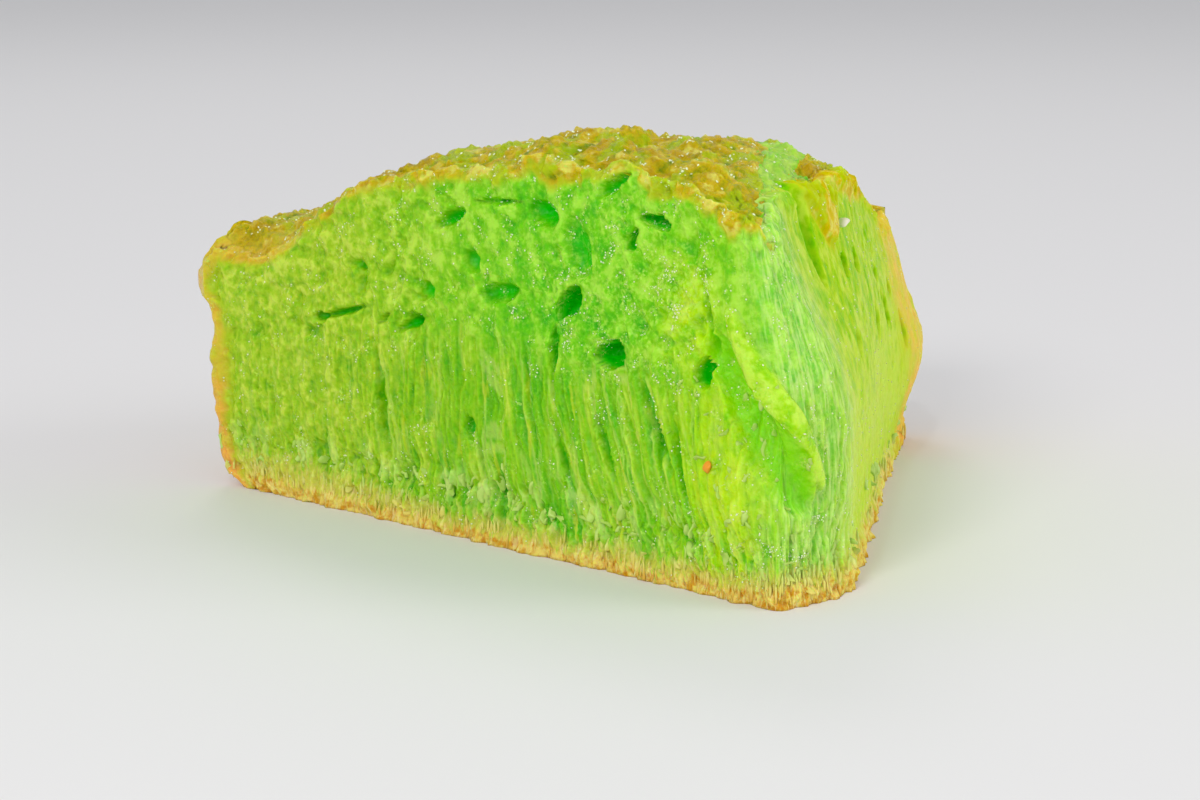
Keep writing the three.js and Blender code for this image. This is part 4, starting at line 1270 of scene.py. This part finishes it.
# Towards the base the crumb is toasted straw and then gold, and under the top crust it's yellow.
fibres = add(tree, "MapRange", [drawn["fibres"], 0.3, 0.7, -0.5, 0.5])
straw = coated(tree, "#B8B61C", (drawn["spots"], "#E4DC6C"))
straw_share = add(tree, "Math", [fibres, 0.8, kept["toasted"]], operation="MULTIPLY_ADD")
straw_share = add(tree, "MapRange", [straw_share, 0.2, 0.9, 0.0, 0.95], **SMOOTH)
straw_share = add(tree, "Math", [straw_share, kept["toasted"]], operation="MINIMUM")
gold = coated(tree, "#CC9418", (add(tree, "MapRange", [drawn["spots"], 0.36, 0.62], **SMOOTH), "#E8D468"))
gold_share = add(tree, "Math", [fibres, 0.9, kept["crust"]], operation="MULTIPLY_ADD")
colour = coated(
    tree,
    colour,
    (straw_share, straw),
    (shows(tree, gold_share, (0.3, 0.75), kept["toasted"], **SMOOTH), gold),
    (shows(tree, fibres, (0.14, 0.3, 0.0, 0.6), kept["toasted"]), "#ECE694"),
    (add(tree, "MapRange", [kept["browned"], 0.05, 0.6, 0.0, 0.9]), "#BAC81C"),
    (add(tree, "MapRange", [kept["browned"], 0.45, 0.95]), oven_browned(tree, place_mm, kept["depth"])),
)

# Where a wall of the crumb was torn it glints in facets, and some facets are painted milky pale as painted glints.
# Pebbles and pores lie over them.
not_grazed = add(tree, "Math", [1.0, kept["grazed"]], operation="SUBTRACT")
glinting = add(tree, "Math", [kept["glint"], 0.08, drawn["patches"]], operation="MULTIPLY_ADD")
torn_glint_patches = shows(tree, glinting, (0.53, 0.66, 0.0, 0.9), not_grazed, **SMOOTH)
normal, chances = faceted(tree, place_mm, 0.3, torn_glint_patches)
painted_glint_facets = shows(tree, add(tree, "SeparateXYZ", [chances]), (0.7, 0.95, 0.0, 0.6), torn_glint_patches)
for pattern, reach, strengths in (("mottle", 0.0008, (0.5, 0.06)), ("pores", 0.0002, (0.35, 0.08))):
    strength = add(tree, "MapRange", [kept["grazed"], 0.0, 1.0, *strengths])
    normal = {"Height": drawn[pattern], "Strength": strength, "Distance": reach, "Normal": normal}
    normal = add(tree, "Bump", normal)
surface(tree, {
    "Base Color": coated(tree, colour, (painted_glint_facets, "#D0F070")),
    "Roughness": add(tree, "MapRange", [drawn["patches"], 0.35, 0.65, 0.16, 0.34]),
    "IOR": 1.33,
    "Specular IOR Level": add(tree, "MapRange", [kept["grazed"], 0.0, 1.0, 0.3, 0.006]),
    "Subsurface Weight": 1.0,
    "Subsurface Radius": (0.9, 1.5, 0.45),
    "Subsurface Scale": 0.0006,
    "Normal": normal,
})

# %% Torn shreds
# Thin flakes and fibres of the same gel, too thin to glow from inside. The eye sees them milky, and toasted at the
# foot.
shred_material, tree = new_material("Torn shreds of gel crumb")
place_mm = in_millimetres(tree)
up_mm = add(tree, "SeparateXYZ", [place_mm]).outputs[2]
spots = add(tree, "TexNoise", {"Vector": place_mm, "Scale": 1.2, "Detail": 2.0})
fresh, dry = coated(tree, "#9CCC2C", (spots, "#D2E688")), coated(tree, "#D6C23C", (spots, "#ECE88C"))
low, lowest = (add(tree, "MapRange", [up_mm, *span], **SMOOTH) for span in ((5.0, 2.2), (2.2, 0.8)))
surface(tree, {"Base Color": coated(tree, fresh, (low, dry), (lowest, "#E2B648")), "Roughness": 0.3, "IOR": 1.33})

# %% Baked crust
# Egg and sugar batter browned in the oven and still moist with oil. The eye sees olive gold, mottled with brown where
# it blistered and with yellow-green where the crumb shines through, under small sharp glints.
crust_material, tree = new_material("Oven-browned batter crust")
place_mm = in_millimetres(tree)
sunk_in = add(tree, "Attribute", attribute_name="depth").outputs["Fac"]
fine = add(tree, "TexNoise", {"Vector": place_mm, "Scale": 1 / 0.35, "Detail": 3.0, "Roughness": 0.7})
normal, _ = faceted(tree, place_mm, 0.45, 1.0)
surface(tree, {
    "Base Color": oven_browned(tree, place_mm, sunk_in),
    "Roughness": 0.3,
    "IOR": 1.33,
    "Specular IOR Level": 0.25,
    "Subsurface Weight": 0.9,
    "Subsurface Radius": (1.0, 0.9, 0.2),
    "Subsurface Scale": 0.0005,
    "Normal": add(tree, "Bump", {"Height": fine, "Strength": 0.8, "Distance": 0.0003, "Normal": normal}),
})

# %% Moisture beads painted as glints
# Water and coconut oil in drops a quarter to half a millimetre across, a little larger than real so that they show.
# They are opaque and painted near white, so each shows only as a painted glint, a point of light.
glint_bead_material = plain_material("Moisture beads painted pale as glints", "#F0FAD4", Roughness=0.1, IOR=1.45)

# %% Two stray bits
# A crumb of the browned rim, and a flake of dried sugar glaze. The eye sees one orange and one nearly white.
orange_material = plain_material("Browned rim crumb", "#F09A24", Roughness=0.4, IOR=1.4)
pale_material = plain_material("Dried pale flake", "#F2ECD4", Roughness=0.4, IOR=1.4)

# %% Run the trees
BOX_GAP = 0.25 * MM
crumb_body.data = keep_result(crumb_body, relief, {**RELIEF_SIZES, "Material": crumb_material})
crust_inputs = {**BLISTER_SIZES, "Material": crust_material, "Material under it": crumb_material}
crust_body.data = keep_result(crust_body, blister, crust_inputs)
for body in (crumb_body, crust_body):
    places = np.zeros(3 * len(body.data.vertices), np.float32)
    body.data.vertices.foreach_get("co", places)
    lowest_place, highest_place = np.array(cad_box[0]) + [BOX_GAP, BOX_GAP, 0], np.array(cad_box[1]) - BOX_GAP
    places = np.clip(places.reshape(-1, 3), lowest_place, highest_place)
    body.data.vertices.foreach_set("co", places.ravel())
    body.data.update()
    depths = np.zeros(len(body.data.vertices), np.float32)
    body.data.attributes["depth"].data.foreach_get("value", depths)
    print(body.name, f"relief, middle and most, in mm: {np.median(depths):.2f} {depths.max():.2f}")

# %% Strew the loose bits
# Each kind has its ground, its material and a value for every input of the strewing tree, in that tree's order.
STREWN = {
    "torn_flakes": (crumb_body, shred_material, "flaky", 44.0, 2.8, 1.2, 0.5, 0.25, 0.7, 0.5, -0.12, 0.65, 10, 1),
    "foot_fibres": (crumb_body, shred_material, "fibrous", 150.0, 3.8, 0.45, 0.3, 0.5, 0.0, 0.9, -0.05, 0.3, 6, 2),
    "moist_beads": (crumb_body, glint_bead_material, "glint", 640.0, 0.32, 0.26, 0.22, 0.2, 1.0, 0.0, 0.0, 0.05, 6, 3),
    "crust_beads": (crust_body, glint_bead_material, "glint", 240.0, 0.55, 0.4, 0.25, 0.25, 1.0, 0.0, 0.0, 0.04, 6, 4),
}
pieces = [crumb_body, crust_body]
for name, (ground, material, *sizes) in STREWN.items():
    bits = new_object(name, ground.data.copy())
    bits.data = keep_result(bits, strew, {**dict(zip(STREW_SIZES, sizes)), "Material": material})
    bits.data.calc_loop_triangles()
    print(name, "has", len(bits.data.loop_triangles), "triangles")
    pieces.append(bits)


# %% Two bits placed one by one
def pressed_bit(name, distance, up, sizes, turn, material):
    """An uneven crumb, pressed into the cake's surface at that place on the wall."""
    plan = wall_plan(np.array([distance]), np.array([up]), np.zeros(1))[0]
    near = Vector(flare(plan, np.array([up]))[0] - [*AXIS_FROM_CENTRE, 0]) * MM
    _, place, out, _ = crumb_body.closest_point_on_mesh(near)
    ball = bmesh.new()
    bmesh.ops.create_icosphere(ball, subdivisions=3, radius=0.5)
    for vertex in ball.verts:
        x, y, z = vertex.co
        lump = 1 + 0.3 * float(noise(3 * x + 0.3, 3 * y + 0.6, 3 * z + up))
        vertex.co = Vector((x * sizes[0], y * sizes[1], z * sizes[2])) * lump
    ball.transform(Matrix.Scale(MM, 4))
    ball.transform(out.to_track_quat("Z", "Y").to_matrix().to_4x4() @ Matrix.Rotation(turn, 4, "Z"))
    ball.transform(Matrix.Translation(place + out * 0.15 * sizes[2] * MM))
    mesh = bpy.data.meshes.new(name)
    ball.to_mesh(mesh)
    ball.free()
    mesh.shade_smooth()
    mesh.materials.append(material)
    print(name, "stands at", [round(c / MM, 1) for c in place])
    return new_object(name, mesh)


pieces.append(pressed_bit("orange_crumb", 11.5, 16.4, (1.7, 1.3, 1.0), 0.4, orange_material))
pieces.append(pressed_bit("pale_flake", -47.0, 41.4, (3.0, 0.9, 2.2), 0.2, pale_material))
for piece in pieces:
    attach(piece, "root")
    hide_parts("honeycomb_cake")

# %% [markdown]
# ## Floor, light and camera
# The slice stands on a plain pale floor under a large soft light from the front left, with others that fill the right
# cut and make the wet crust glisten. The camera stands where the view was taken from: a long lens, a little above the
# cake.

# %% Floor
FLOOR_HALF_WIDTH = 2.5
floor_mesh = bpy.data.meshes.new("floor")
corners = [(x * FLOOR_HALF_WIDTH, y * FLOOR_HALF_WIDTH, 0) for x, y in ((-1, -1), (1, -1), (1, 1), (-1, 1))]
floor_mesh.from_pydata(corners, [], [(0, 1, 2, 3)])
floor_mesh.materials.append(plain_material("Matt white card", "#E9E7E6", Roughness=0.7))
new_object("floor", floor_mesh)

# %% Light
world = bpy.data.worlds.new("Soft room")
world.use_nodes = True
background = world.node_tree.nodes["Background"].inputs
background["Color"].default_value = srgb("#EFF1F5")
background["Strength"].default_value = 0.64
bpy.context.scene.world = world
LIT_PLACE = Vector((0, 0, 0.03))
for name, place, across, power in (
    ("key", (-0.65, -0.70, 0.55), 0.35, 4.6),
    ("fill", (0.80, -0.55, 0.40), 0.6, 3.4),
    ("back", (0.1, 0.7, 0.7), 0.3, 0.8),
    ("sparkle", (-0.35, -0.45, 0.9), 0.05, 0.6),
):
    light = bpy.data.lights.new(name, "AREA")
    light.shape = "DISK"
    light.size = across
    light.energy = power
    lamp = new_object(name, light)
    lamp.location = place
    lamp.rotation_euler = (LIT_PLACE - Vector(place)).to_track_quat("-Z", "Y").to_euler()

# %% Camera
CAMERA_PLACE = (-143.8 - AXIS_FROM_CENTRE[0], -313.4 - AXIS_FROM_CENTRE[1], 94.1)
CAMERA_DOWN = 11.0
CAMERA_TURN = -19.8
camera_data = bpy.data.cameras.new("camera")
camera_data.lens = 90
camera_data.sensor_width = 36
camera = new_object("camera", camera_data)
camera.location = Vector(CAMERA_PLACE) * MM
camera.rotation_euler = (math.radians(90 - CAMERA_DOWN), 0, math.radians(CAMERA_TURN))
bpy.context.scene.camera = camera
bpy.context.scene.view_settings.view_transform = "Standard"
